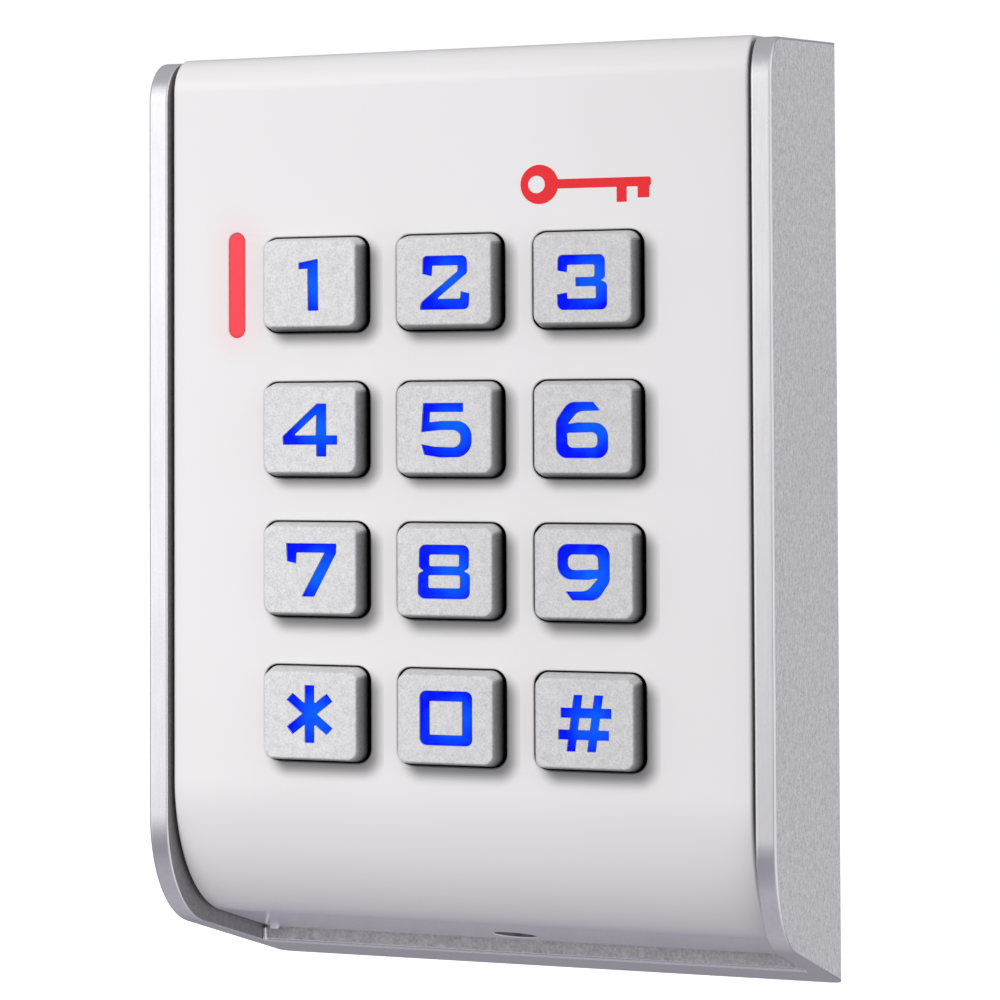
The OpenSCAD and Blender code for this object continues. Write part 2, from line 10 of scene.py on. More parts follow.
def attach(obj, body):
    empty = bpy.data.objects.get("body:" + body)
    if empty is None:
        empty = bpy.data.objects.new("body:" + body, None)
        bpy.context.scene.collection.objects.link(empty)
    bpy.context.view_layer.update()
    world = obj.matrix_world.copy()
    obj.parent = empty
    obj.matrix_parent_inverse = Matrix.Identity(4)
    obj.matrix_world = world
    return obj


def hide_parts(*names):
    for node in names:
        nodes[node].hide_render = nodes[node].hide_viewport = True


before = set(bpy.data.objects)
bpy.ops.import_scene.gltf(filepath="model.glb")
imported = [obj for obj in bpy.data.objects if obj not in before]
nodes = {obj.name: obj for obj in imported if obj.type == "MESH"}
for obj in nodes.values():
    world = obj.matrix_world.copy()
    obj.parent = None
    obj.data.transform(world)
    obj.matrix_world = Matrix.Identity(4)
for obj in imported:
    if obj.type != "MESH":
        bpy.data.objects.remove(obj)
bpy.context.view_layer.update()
MM = 0.001

# ---------------------------------------------------------------- sizes, as in part.scad
D = 42.5
HW = 38.5
TOP_A = math.radians(6.4)
UND_A = math.radians(17.1)
TOP0 = 60.15 - D * math.tan(TOP_A)
UND0 = -60.15 + D * math.tan(UND_A)
R_TOP, R_UND = 5.5, 15.5
CHEEK = 2.4
WALL = 2.3
COV_HW = HW - CHEEK - 0.45
COV_SET, COV_T = 0.8, 2.2
COV_RT, COV_RU = 4.6, 19.0
COV_UND0 = UND0 + 2.0
COV_TOP0 = TOP0 + 0.35
TOP_END, UND_END = 34.5, 30.4
COV_A = math.atan((TOP0 + TOP_END * math.tan(TOP_A) - COV_TOP0) / TOP_END)
STEP_U = UND_END + 0.4
Y_COVER = -D + COV_SET
Y_COVER_IN = Y_COVER + COV_T
Y_CAP = Y_COVER - 2.5
Y_FLANGE = Y_COVER_IN + 0.2
Y_FLANGE_B = Y_FLANGE + 1.0
Y_BOARD = Y_FLANGE_B + 4.5
PX, PZ, PADX, PADZ = 16.8, 17.1, -0.2, 2.55
CAP_W, CAP_H, CAP_R, CAP_DRAFT = 12.6, 11.2, 1.4, 0.45
WIN_W, WIN_H, WIN_R = 13.45, 11.5, 1.7
BAR_X, BAR_Z = -27.3, PADZ + 1.5 * PZ
SEC_Y = -D + 25.3
SEC_Z = -48.6
KEYS = [("1", -1, 1.5), ("2", 0, 1.5), ("3", 1, 1.5),
        ("4", -1, 0.5), ("5", 0, 0.5), ("6", 1, 0.5),
        ("7", -1, -0.5), ("8", 0, -0.5), ("9", 1, -0.5),
        ("star", -1, -1.5), ("0", 0, -1.5), ("hash", 1, -1.5)]


# ---------------------------------------------------------------- 2-D outlines
def arc(c, r, a0, a1, n):
    return [(c[0] + r * math.cos(math.radians(a0 + (a1 - a0) * i / n)),
             c[1] + r * math.sin(math.radians(a0 + (a1 - a0) * i / n))) for i in range(n + 1)]


def side(uf, t0, ta, rt, b0, ba, rb, ue_t, ue_b, off=0.0, top_cuts=(), bot_cuts=(), nt=14, nb=40):
    """Side outline [(u, z)] from the back of the top line round the front to the back of the underside, moved in by off.
    top_cuts and bot_cuts are extra depths at which the straight lines get a point."""
    uf, t0, rt = uf + off, t0 - off / math.cos(ta), rt - off
    b0, rb = b0 + off / math.cos(ba), rb - off
    ct = (uf + rt, t0 + math.tan(ta) * (uf + rt) - rt / math.cos(ta))
    cb = (uf + rb, b0 - math.tan(ba) * (uf + rb) + rb / math.cos(ba))
    pts = [(u, t0 + math.tan(ta) * u) for u in (ue_t,) + tuple(top_cuts)]
    pts += arc(ct, rt, 90 + math.degrees(ta), 180, nt)
    pts += arc(cb, rb, 180, 270 - math.degrees(ba), nb)
    pts += [(u, b0 - math.tan(ba) * u) for u in tuple(bot_cuts) + (ue_b,)]
    return pts


def rrect(w, h, r, cx=0.0, cz=0.0, n=8):
    """Rounded rectangle, anticlockwise, 4(n+1) points."""
    out = []
    for sx, sz, a in ((1, 1, 0), (-1, 1, 90), (-1, -1, 180), (1, -1, 270)):
        out += arc((cx + sx * (w / 2 - r), cz + sz * (h / 2 - r)), r, a, a + 90, n)
    return out


def stadium(w, h, cx, cz, n=16):
    r = w / 2
    return arc((cx, cz + h / 2 - r), r, 0, 180, n) + arc((cx, cz - h / 2 + r), r, 180, 360, n)


def area2(p):
    return sum(p[i - 1][0] * p[i][1] - p[i][0] * p[i - 1][1] for i in range(len(p)))


def ccw(p):
    return p if area2(p) > 0 else p[::-1]


def rounded(poly, r_out, r_in, n=5):
    """Rounds the outer corners of a polygon by r_out and its inner ones by r_in, as far as its edges allow."""
    own = {tuple(q[:2]): q[2] for q in poly if len(q) > 2}
    p = ccw([tuple(q[:2]) for q in poly])
    out = []
    for i in range(len(p)):
        a, b, c = Vector(p[i - 1]), Vector(p[i]), Vector(p[(i + 1) % len(p)])
        u, v = (b - a), (c - b)
        lu, lv = u.length, v.length
        u.normalize(), v.normalize()
        cross = u.x * v.y - u.y * v.x
        turn = math.atan2(cross, u.dot(v))
        if abs(turn) < 0.06:
            out.append(tuple(b))
            continue
        r = max(0.06 if turn > 0 else 0.08, own.get(p[i], r_out if turn > 0 else r_in))
        t = min(r * math.tan(abs(turn) / 2), 0.48 * lu, 0.48 * lv)
        r = t / math.tan(abs(turn) / 2)
        n = 3 if r < 0.3 else 6 if r < 1.2 else 10
        p0 = b - u * t
        normal = Vector((-u.y, u.x)) * (1 if turn > 0 else -1)
        centre = p0 + normal * r
        start = p0 - centre
        for k in range(n + 1):
            ang = turn * k / n
            out.append((centre.x + start.x * math.cos(ang) - start.y * math.sin(ang),
                        centre.y + start.x * math.sin(ang) + start.y * math.cos(ang)))
    return out


def offset(poly, d):
    """Moves a closed anticlockwise outline outwards by d."""
    out = []
    for i in range(len(poly)):
        a, b, c = Vector(poly[i - 1]), Vector(poly[i]), Vector(poly[(i + 1) % len(poly)])
        u, v = b - a, c - b
        if u.length < 1e-7 or v.length < 1e-7:
            u = v = c - a
        u.normalize(), v.normalize()
        n1, n2 = Vector((u.y, -u.x)), Vector((v.y, -v.x))
        m = n1 + n2
        m.normalize()
        k = max(0.35, m.dot(n1))
        q = b + m * (d / k)
        out.append((q.x, q.y))
    return out


def inside(p, loops):
    odd = False
    for lp in loops:
        for i in range(len(lp)):
            (x0, z0), (x1, z1) = lp[i - 1], lp[i]
            if (z0 > p[1]) != (z1 > p[1]) and p[0] < (x1 - x0) * (p[1] - z0) / (z1 - z0) + x0:
                odd = not odd
    return odd


# ---------------------------------------------------------------- mesh building
class Shape:
    """Collects points in mm and faces with a material index, then becomes one object."""

    def __init__(self):
        self.v, self.f, self.m = [], [], []

    def ring(self, pts):
        k = len(self.v)
        self.v += [tuple(p) for p in pts]
        return list(range(k, len(self.v)))

    def face(self, idx, mat=0):
        self.f.append(tuple(idx))
        self.m.append(mat)

    def bridge(self, a, b, closed=True, mat=0):
        n = len(a)
        for i in range(n if closed else n - 1):
            j = (i + 1) % n
            self.face((a[i], a[j], b[j], b[i]), mat)

    def fill(self, loops, to3d, mat=0):
        """Fills the area that an odd number of these closed outlines enclose, as flat triangles."""
        verts, edges = [], []
        for lp in loops:
            k = len(verts)
            verts += [Vector(p) for p in lp]
            edges += [(k + i, k + (i + 1) % len(lp)) for i in range(len(lp))]
        res = geometry.delaunay_2d_cdt(verts, edges, [], 0, 1e-6)
        vv, ff, origin = res[0], res[2], res[3]
        ids = []
        for i, q in enumerate(vv):
            p = tuple(verts[origin[i][0]]) if origin[i] else tuple(q)
            ids.append(self.ring([to3d(p)])[0])
        for t in ff:
            c = (sum(vv[i].x for i in t) / len(t), sum(vv[i].y for i in t) / len(t))
            if inside(c, loops):
                self.face([ids[i] for i in t], mat)

    def box(self, x0, x1, y0, y1, z0, z1, r=0.0, seg=3, mat=0):
        """A box with every edge rounded by r."""
        bm = bmesh.new()
        bmesh.ops.create_cube(bm, size=1.0)
        for q in bm.verts:
            q.co = Vector((x0 if q.co.x < 0 else x1, y0 if q.co.y < 0 else y1, z0 if q.co.z < 0 else z1))
        if r > 0:
            bmesh.ops.bevel(bm, geom=bm.edges[:], offset=r, segments=seg, profile=0.5, affect="EDGES")
        bm.verts.index_update()
        k = len(self.v)
        self.v += [tuple(q.co) for q in bm.verts]
        for f in bm.faces:
            self.face([k + q.index for q in f.verts], mat)
        bm.free()

    def prism(self, profile, x0, x1, mat=0):
        """A profile [(u, z)] pulled from x0 to x1, closed at both ends."""
        a = self.ring([(x0, u - D, z) for u, z in profile])
        b = self.ring([(x1, u - D, z) for u, z in profile])
        self.bridge(a, b, True, mat)
        self.fill([profile], lambda p: (x0, p[0] - D, p[1]), mat)
        self.fill([profile], lambda p: (x1, p[0] - D, p[1]), mat)

    def tube(self, rings, close_first=False, close_last=False, mat=0):
        ids = [self.ring(r) for r in rings]
        for a, b in zip(ids, ids[1:]):
            self.bridge(a, b, True, mat)
        if close_first:
            self.face(ids[0][::-1], mat)
        if close_last:
            self.face(ids[-1], mat)
        return ids

    def make(self, name, mats, body="unit", replaces=(), sharp=32.0):
        me = bpy.data.meshes.new(name)
        me.from_pydata([(x * MM, y * MM, z * MM) for x, y, z in self.v], [], self.f)
        for i, p in enumerate(me.polygons):
            p.material_index = self.m[i]
        bm = bmesh.new()
        bm.from_mesh(me)
        bmesh.ops.remove_doubles(bm, verts=bm.verts[:], dist=3e-7)
        bmesh.ops.dissolve_degenerate(bm, edges=bm.edges[:], dist=1e-7)
        bmesh.ops.recalc_face_normals(bm, faces=bm.faces[:])
        bm.to_mesh(me)
        bm.free()
        for p in me.polygons:
            p.use_smooth = True
        me.set_sharp_from_angle(angle=math.radians(sharp))
        ob = bpy.data.objects.new(name, me)
        bpy.context.scene.collection.objects.link(ob)
        for m in mats:
            me.materials.append(m)
        wn = ob.modifiers.new("even_normals", "WEIGHTED_NORMAL")
        wn.keep_sharp = True
        wn.weight = 80
        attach(ob, body)
        if replaces:
            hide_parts(*replaces)
        return ob


# ---------------------------------------------------------------- materials
class Tree:
    """Short hand for building one material's nodes."""

    def __init__(self, name):
        self.mat = bpy.data.materials.new(name)
        self.mat.use_nodes = True
        self.nt = self.mat.node_tree
        self.nt.nodes.clear()
        self.out = self.add("ShaderNodeOutputMaterial")
        self.bsdf = self.add("ShaderNodeBsdfPrincipled")
        self.link(self.bsdf.outputs[0], self.out.inputs[0])
        tc = self.add("ShaderNodeTexCoord")
        self.pos = tc.outputs["Object"]

    def add(self, kind, **props):
        n = self.nt.nodes.new(kind)
        for k, v in props.items():
            setattr(n, k, v)
        return n

    def link(self, a, b):
        self.nt.links.new(a, b)

    def put(self, socket, value):
        if hasattr(value, "is_linked") or isinstance(value, bpy.types.NodeSocket):
            self.link(value, socket)
        else:
            socket.default_value = value

    def set(self, **kw):
        names = {"color": "Base Color", "metal": "Metallic", "rough": "Roughness", "coat": "Coat Weight",
                 "coat_rough": "Coat Roughness", "ior": "IOR", "spec": "Specular IOR Level",
                 "emit": "Emission Color", "emit_power": "Emission Strength", "alpha": "Alpha",
                 "sub": "Subsurface Weight", "trans": "Transmission Weight", "normal": "Normal"}
        for k, v in kw.items():
            if k in ("color", "emit") and isinstance(v, (tuple, list)) and len(v) == 3:
                v = (*v, 1.0)
            self.put(self.bsdf.inputs[names[k]], v)
        return self

    def noise(self, size_mm, detail=2.0, rough=0.5, vec=None, distort=0.0):
        """A noise whose features are about size_mm across; 0 to 1."""
        n = self.add("ShaderNodeTexNoise")
        self.link(vec or self.pos, n.inputs["Vector"])
        n.inputs["Scale"].default_value = 1000.0 / size_mm
        n.inputs["Detail"].default_value = detail
        n.inputs["Roughness"].default_value = rough
        n.inputs["Distortion"].default_value = distort
        return n.outputs["Fac"]

    def cells(self, size_mm, vec=None, feature="F1", output="Distance"):
        n = self.add("ShaderNodeTexVoronoi", feature=feature)
        self.link(vec or self.pos, n.inputs["Vector"])
        n.inputs["Scale"].default_value = 1000.0 / size_mm
        return n.outputs[output]

    def math(self, op, a, b=0.0, clamp=False):
        n = self.add("ShaderNodeMath", operation=op, use_clamp=clamp)
        self.put(n.inputs[0], a)
        self.put(n.inputs[1], b)
        return n.outputs[0]

    def ramp(self, value, lo, hi, out_lo=0.0, out_hi=1.0, smooth=False):
        n = self.add("ShaderNodeMapRange")
        n.interpolation_type = "SMOOTHSTEP" if smooth else "LINEAR"
        self.put(n.inputs["Value"], value)
        n.inputs["From Min"].default_value = lo
        n.inputs["From Max"].default_value = hi
        n.inputs["To Min"].default_value = out_lo
        n.inputs["To Max"].default_value = out_hi
        return n.outputs[0]

    def mix(self, fac, a, b):
        n = self.add("ShaderNodeMix", data_type="RGBA")
        self.put(n.inputs[0], fac)
        for s, v in ((n.inputs[6], a), (n.inputs[7], b)):
            if isinstance(v, (tuple, list)) and len(v) == 3:
                v = (*v, 1.0)
            self.put(s, v)
        return n.outputs[2]

    def bump(self, height, strength=0.3, dist_mm=0.1, normal=None):
        n = self.add("ShaderNodeBump")
        n.inputs["Strength"].default_value = strength
        n.inputs["Distance"].default_value = dist_mm * MM
        self.link(height, n.inputs["Height"])
        if normal is not None:
            self.link(normal, n.inputs["Normal"])
        return n.outputs[0]

    def xyz(self):
        s = self.add("ShaderNodeSeparateXYZ")
        self.link(self.pos, s.inputs[0])
        return s.outputs[0], s.outputs[1], s.outputs[2]

    def stretched(self, sx, sy, sz):
        n = self.add("ShaderNodeVectorMath", operation="MULTIPLY")
        self.link(self.pos, n.inputs[0])
        n.inputs[1].default_value = (sx, sy, sz)
        return n.outputs[0]


def grained_silver(name, base, contrast, metal, rough, bump, dist, grain=0.22, shade_walls=False):
    """Silver paint over a spark-eroded texture: fine bright and dark grains; with the wall-shade option, painted shade
    on the walls towards the cover, most on the sides turned from the light, and a painted light falloff across the
    keypad.
    """
    t = Tree(name)
    fine = t.noise(grain, 3.0, 0.65)
    mid = t.noise(grain * 3.2, 2.0, 0.5)
    wide = t.noise(26.0, 2.0, 0.5)
    g = t.math("ADD", t.math("MULTIPLY", fine, 0.7), t.math("MULTIPLY", mid, 0.3))
    lo = tuple(c * (1 - contrast) for c in base)
    hi = tuple(min(1.0, c * (1 + contrast)) for c in base)
    col = t.mix(t.ramp(g, 0.33, 0.67), lo, hi)
    col = t.mix(t.ramp(wide, 0.3, 0.7, 0.0, 0.10), col, tuple(c * 0.86 for c in base))
    spark = t.ramp(t.cells(grain * 2.6, output="Distance"), 0.0, 0.16, 1.0, 0.0)
    col = t.mix(t.math("MULTIPLY", spark, 0.35), col, tuple(min(1.0, c * 1.5) for c in base))
    if shade_walls:
        # painted shade: the walls grow darker towards the cover on the sides turned from the light, and go near black
        # all round where they meet the window
        y = t.xyz()[1]
        g_n = t.add("ShaderNodeNewGeometry")
        part = t.add("ShaderNodeSeparateXYZ")
        t.link(g_n.outputs["True Normal"], part.inputs[0])
        lee_shade = t.ramp(t.math("SUBTRACT", part.outputs[0], part.outputs[2]), 0.25, 0.85, 0.0, 1.0, smooth=True)
        shade_depth = t.ramp(y, (Y_CAP + 0.05) * MM, (Y_COVER + 0.10) * MM, 0.50, 0.98)
        foot = t.ramp(y, (Y_COVER - 0.12) * MM, (Y_COVER + 0.20) * MM, 0.0, 1.0, smooth=True)
        wall_shade = t.math("MAXIMUM", t.math("MULTIPLY", shade_depth, lee_shade), foot)
        col = t.mix(wall_shade, col, (0.010, 0.010, 0.011))
        # painted light falloff across the keypad: caps darker to the right and slightly darker towards the top
        x, z = t.xyz()[0], t.xyz()[2]
        shade = t.math("MULTIPLY", t.ramp(x, -0.022, 0.022, 1.04, 0.86), t.ramp(z, -0.03, 0.035, 1.03, 0.99))
        shade_scale = t.add("ShaderNodeVectorMath", operation="SCALE")
        t.link(col, shade_scale.inputs[0])
        t.link(shade, shade_scale.inputs["Scale"])
        col = shade_scale.outputs[0]
    t.set(color=col, metal=metal, rough=t.ramp(g, 0.3, 0.7, rough + 0.08, rough - 0.08))
    t.set(normal=t.bump(g, bump, dist))
    return t.mat


def satin_silver(name, base, metal, rough, streak=(1.0, 1.0, 0.06)):
    """Smoother silver paint on the rims, with faint drawn streaks and tiny pits."""
    t = Tree(name)
    fine = t.noise(0.16, 2.0, 0.6)
    streaks = t.noise(0.5, 3.0, 0.6, vec=t.stretched(*streak))
    wide = t.noise(9.0, 2.0, 0.5)
    f = t.math("ADD", t.math("MULTIPLY", fine, 0.45), t.math("MULTIPLY", streaks, 0.55))
    col = t.mix(t.ramp(f, 0.35, 0.65), tuple(c * 0.955 for c in base), tuple(min(1, c * 1.03) for c in base))
    pits = t.ramp(t.cells(1.5), 0.0, 0.045, 1.0, 0.0)
    col = t.mix(t.math("MULTIPLY", pits, 0.25), col, tuple(c * 0.5 for c in base))
    t.set(color=col, metal=metal, rough=t.ramp(wide, 0.3, 0.7, rough - 0.03, rough + 0.04))
    t.set(normal=t.bump(f, 0.10, 0.02))
    return t.mat


def moulded(name, base, rough=0.5, grain=0.3, contrast=0.08, bump=0.12, dist=0.03, spec=0.5, coat=0.0, metal=0.0):
    """Plain moulded plastic or rubber with a fine grain and slow colour drift."""
    t = Tree(name)
    fine = t.noise(grain, 3.0, 0.6)
    wide = t.noise(14.0, 3.0, 0.55)
    col = t.mix(t.ramp(wide, 0.3, 0.7), tuple(c * (1 - contrast) for c in base), tuple(min(1, c * (1 + contrast)) for c in base))
    col = t.mix(t.ramp(fine, 0.35, 0.65, 0.0, 0.5), col, tuple(min(1, c * (1 + contrast * 0.8)) for c in base))
    t.set(color=col, rough=t.ramp(fine, 0.3, 0.7, rough - 0.06, rough + 0.06), spec=spec, metal=metal)
    if coat:
        t.set(coat=coat, coat_rough=0.08)
    t.set(normal=t.bump(fine, bump, dist))
    return t.mat


def gloss_white():
    """Glossy moulded cover: near white, slightly warm, a very faint ripple, with painted light: a pink glow round the
    lit bar, a painted shadow round the keys, painted shade in the window walls and screw bore, a painted light falloff
    across it and a painted lavender reflection underneath.
    """
    t = Tree("cover_gloss_white")
    wide = t.noise(30.0, 2.0, 0.5)
    fine = t.noise(0.35, 2.0, 0.5)
    specks = t.ramp(t.cells(7.5), 0.0, 0.016, 1.0, 0.0)
    col = t.mix(t.ramp(wide, 0.35, 0.65), (0.792, 0.780, 0.774), (0.806, 0.796, 0.792))
    col = t.mix(t.math("MULTIPLY", specks, 0.35), col, (0.55, 0.53, 0.52))
    x, y, z = t.xyz()
    # painted light: a pink glow on the cover round the lit red bar
    dx = t.math("ABSOLUTE", t.math("SUBTRACT", x, BAR_X * MM))
    dz = t.math("ABSOLUTE", t.math("SUBTRACT", z, BAR_Z * MM))
    dz = t.math("MAXIMUM", t.math("SUBTRACT", dz, 0.0053), 0.0)
    dist = t.math("SQRT", t.math("ADD", t.math("MULTIPLY", dx, dx), t.math("MULTIPLY", dz, dz)))
    glow = t.ramp(dist, 0.0009, 0.0062, 1.0, 0.0, smooth=True)
    glow = t.math("MULTIPLY", glow, glow)
    col = t.mix(t.math("MULTIPLY", glow, 0.26), col, (0.88, 0.52, 0.54))
    # painted shadow to the right of and below each key
    fx = t.math("FRACT", t.math("DIVIDE", t.math("SUBTRACT", x, (PADX - 1.5 * PX) * MM), PX * MM))
    fz = t.math("FRACT", t.math("DIVIDE", t.math("SUBTRACT", z, (PADZ - 2.0 * PZ) * MM), PZ * MM))
    kx = t.math("SUBTRACT", t.math("MULTIPLY", t.math("SUBTRACT", fx, 0.5), PX), 1.0)
    kz = t.math("ADD", t.math("MULTIPLY", t.math("SUBTRACT", fz, 0.5), PZ), 1.0)
    qx = t.math("MAXIMUM", t.math("SUBTRACT", t.math("ABSOLUTE", kx), 4.6), 0.0)
    qz = t.math("MAXIMUM", t.math("SUBTRACT", t.math("ABSOLUTE", kz), 3.7), 0.0)
    away = t.math("SUBTRACT", t.math("SQRT", t.math("ADD", t.math("MULTIPLY", qx, qx), t.math("MULTIPLY", qz, qz))), 1.6)
    lee_shade = t.math("MULTIPLY", t.ramp(away, -0.5, 1.7, 1.0, 0.0, smooth=True), 0.66)
    # painted shade: the walls of the key windows go near black behind the cover's front; these masks also keep the
    # painted shadow to the keypad
    across = t.math("LESS_THAN", t.math("ABSOLUTE", t.math("SUBTRACT", x, PADX * MM)), 1.5 * PX * MM)
    upward = t.math("LESS_THAN", t.math("ABSOLUTE", t.math("SUBTRACT", z, PADZ * MM)), 2.0 * PZ * MM)
    front = t.math("LESS_THAN", y, (Y_COVER + 0.3) * MM)
    lee_shade = t.math("MULTIPLY", lee_shade, t.math("MULTIPLY", front, t.math("MULTIPLY", across, upward)))
    # painted light falloff: the cover darker to the right and towards the top, multiplied with the painted shadow
    light_falloff = t.math("MULTIPLY", t.math("SUBTRACT", 1.0, lee_shade), t.ramp(x, -0.036, 0.036, 1.00, 0.92))
    light_falloff = t.math("MULTIPLY", light_falloff, t.ramp(z, -0.02, 0.05, 1.01, 0.955))
    # painted reflection: the facet underneath tinted lavender, as if lit from below
    col = t.mix(t.ramp(z, -0.0475, -0.0505, 0.0, 1.0, smooth=True), col, (0.90, 0.86, 0.97))
    shade_scale = t.add("ShaderNodeVectorMath", operation="SCALE")
    t.link(col, shade_scale.inputs[0])
    t.link(light_falloff, shade_scale.inputs["Scale"])
    col = shade_scale.outputs[0]
    # painted shade: the bore of the security screw is darkened inside
    by = t.math("SUBTRACT", y, SEC_Y * MM)
    bore = t.math("SQRT", t.math("ADD", t.math("MULTIPLY", x, x), t.math("MULTIPLY", by, by)))
    below = t.ramp(z, -0.020, -0.010, 1.0, 0.0)
    bore = t.math("MULTIPLY", t.ramp(bore, 0.00272, 0.00280, 1.0, 0.0), below)
    col = t.mix(bore, col, (0.085, 0.062, 0.058))
    # painted shade: the window walls near black below the front
    window_shade = t.ramp(y, (Y_COVER + 0.10) * MM, (Y_COVER + 0.40) * MM, 0.0, 1.0, smooth=True)
    col = t.mix(t.math("MULTIPLY", window_shade, t.math("MULTIPLY", across, upward)), col, (0.010, 0.010, 0.011))
    t.set(color=col, rough=t.ramp(fine, 0.3, 0.7, 0.17, 0.22), coat=0.4, coat_rough=0.10, spec=0.5)
    t.set(normal=t.bump(t.noise(5.0, 1.0, 0.4), 0.05, 0.02))
    return t.mat


def lit_blue():
    """Legends: translucent blue lit from behind, brightest right of the middle of each key."""
    t = Tree("legend_lit_blue")
    x, y, z = t.xyz()
    fx = t.math("FRACT", t.math("DIVIDE", t.math("SUBTRACT", x, (PADX - 1.5 * PX) * MM), PX * MM))
    fz = t.math("FRACT", t.math("DIVIDE", t.math("SUBTRACT", z, (PADZ - 2.0 * PZ) * MM), PZ * MM))
    dx = t.math("MULTIPLY", t.math("SUBTRACT", fx, 0.56), 16.8)
    dz = t.math("MULTIPLY", t.math("SUBTRACT", fz, 0.50), 17.1)
    r2 = t.math("ADD", t.math("MULTIPLY", dx, dx), t.math("MULTIPLY", dz, dz))
    hot = t.ramp(t.math("SQRT", r2), 0.3, 4.2, 1.0, 0.0, smooth=True)
    mottle = t.noise(1.6, 2.0, 0.5)
    k = t.math("ADD", t.math("MULTIPLY", hot, 0.85), t.ramp(mottle, 0.3, 0.7, -0.12, 0.14), clamp=True)
    col = t.mix(k, (0.000, 0.002, 0.90), (0.003, 0.122, 0.97))
    t.set(color=t.mix(k, (0.0, 0.004, 0.10), (0.0, 0.01, 0.14)), rough=0.5, emit=col, emit_power=0.97, spec=0.05)
    t.set(normal=t.bump(t.noise(0.5, 2.0, 0.5), 0.08, 0.02))
    return t.mat


def lit_red():
    """Status bar: red diffuser lit from behind."""
    t = Tree("status_lens_red")
    x, y, z = t.xyz()
    across = t.ramp(x, (BAR_X - 0.9) * MM, (BAR_X + 0.9) * MM)
    mottle = t.noise(1.2, 2.0, 0.5)
    k = t.math("ADD", t.math("MULTIPLY", across, 0.7), t.ramp(mottle, 0.3, 0.7, 0.0, 0.3), clamp=True)
    t.set(color=(0.52, 0.03, 0.042), rough=0.25, coat=0.10, coat_rough=0.05, spec=0.35,
          emit=t.mix(k, (0.80, 0.035, 0.050), (0.86, 0.050, 0.068)), emit_power=0.475)
    t.set(normal=t.bump(t.noise(0.6, 2.0, 0.5), 0.05, 0.02))
    return t.mat


def printed_red():
    t = Tree("print_red")
    fine = t.noise(0.25, 2.0, 0.5)
    t.set(color=t.mix(t.ramp(fine, 0.35, 0.65), (0.70, 0.004, 0.012), (0.78, 0.010, 0.018)), rough=0.3, spec=0.4)
    t.set(normal=t.bump(fine, 0.06, 0.01))
    return t.mat


def board_green():
    """Solder mask with tracks and pads showing through."""
    t = Tree("board_mask_green")
    x, y, z = t.xyz()
    wx = t.math("PINGPONG", t.math("ADD", x, t.ramp(t.noise(18.0, 0.0), 0.3, 0.7, 0.0, 0.002)), 0.0011)
    wz = t.math("PINGPONG", t.math("ADD", z, t.ramp(t.noise(15.0, 0.0), 0.3, 0.7, 0.0, 0.002)), 0.0013)
    area = t.ramp(t.cells(9.0, feature="F1", output="Color"), 0.45, 0.5)
    lines = t.ramp(t.math("ADD", t.math("MULTIPLY", wx, area), t.math("MULTIPLY", wz, t.math("SUBTRACT", 1.0, area))), 0.0003, 0.00036)
    col = t.mix(lines, (0.030, 0.155, 0.060), (0.012, 0.080, 0.030))
    pads = t.ramp(t.cells(4.6), 0.07, 0.08, 1.0, 0.0)
    col = t.mix(pads, col, (0.62, 0.52, 0.30))
    t.set(color=col, rough=0.32, coat=0.4, coat_rough=0.12, normal=t.bump(t.math("ADD", lines, pads), 0.25, 0.03))
    return t.mat


def metal(name, base, rough=0.3, streak=(1.0, 1.0, 1.0), grain=0.25):
    t = Tree(name)
    f = t.noise(grain, 3.0, 0.6, vec=t.stretched(*streak))
    wide = t.noise(5.0, 2.0, 0.5)
    col = t.mix(t.ramp(f, 0.3, 0.7), tuple(c * 0.82 for c in base), base)
    col = t.mix(t.ramp(wide, 0.4, 0.7, 0.0, 0.25), col, tuple(c * 0.7 for c in base))
    t.set(color=col, metal=1.0, rough=t.ramp(f, 0.3, 0.7, rough - 0.08, rough + 0.1))
    t.set(normal=t.bump(f, 0.12, 0.02))
    return t.mat


M_FACE = grained_silver("housing_grained_silver", (0.71, 0.715, 0.715), 0.38, 0.26, 0.50, 1.0, 0.11, grain=0.30)
# painted shade: the recessed step and the cheeks' inner faces use darker copies of the housing's silver
M_STEP_SHADED = grained_silver("housing_step_silver_shaded", (0.46, 0.455, 0.46), 0.26, 0.35, 0.46, 0.85, 0.08, grain=0.34)
M_INNER_SHADED = grained_silver("housing_inner_silver_shaded", (0.27, 0.262, 0.275), 0.22, 0.35, 0.50, 0.8, 0.08, grain=0.34)
M_RIM = satin_silver("housing_satin_silver", (0.82, 0.817, 0.838), 0.90, 0.24)
M_COVER = gloss_white()
M_CAP = grained_silver("key_cap_silver", (0.695, 0.695, 0.697), 0.17, 0.18, 0.46, 1.0, 0.10, grain=0.28, shade_walls=True)
M_BLUE = lit_blue()
M_RED = lit_red()
M_PRINT = printed_red()

# small differences in the rows' heights and in the legends' widths
ROW_DZ = {1.5: -0.10, 0.5: -0.30, -0.5: 0.18, -1.5: 0.16}
COL_SX = {-1: 1.055, 0: 1.03, 1: 0.985}

# ---------------------------------------------------------------- housing
HSG = (0.0, TOP0, TOP_A, R_TOP, UND0, UND_A, R_UND)


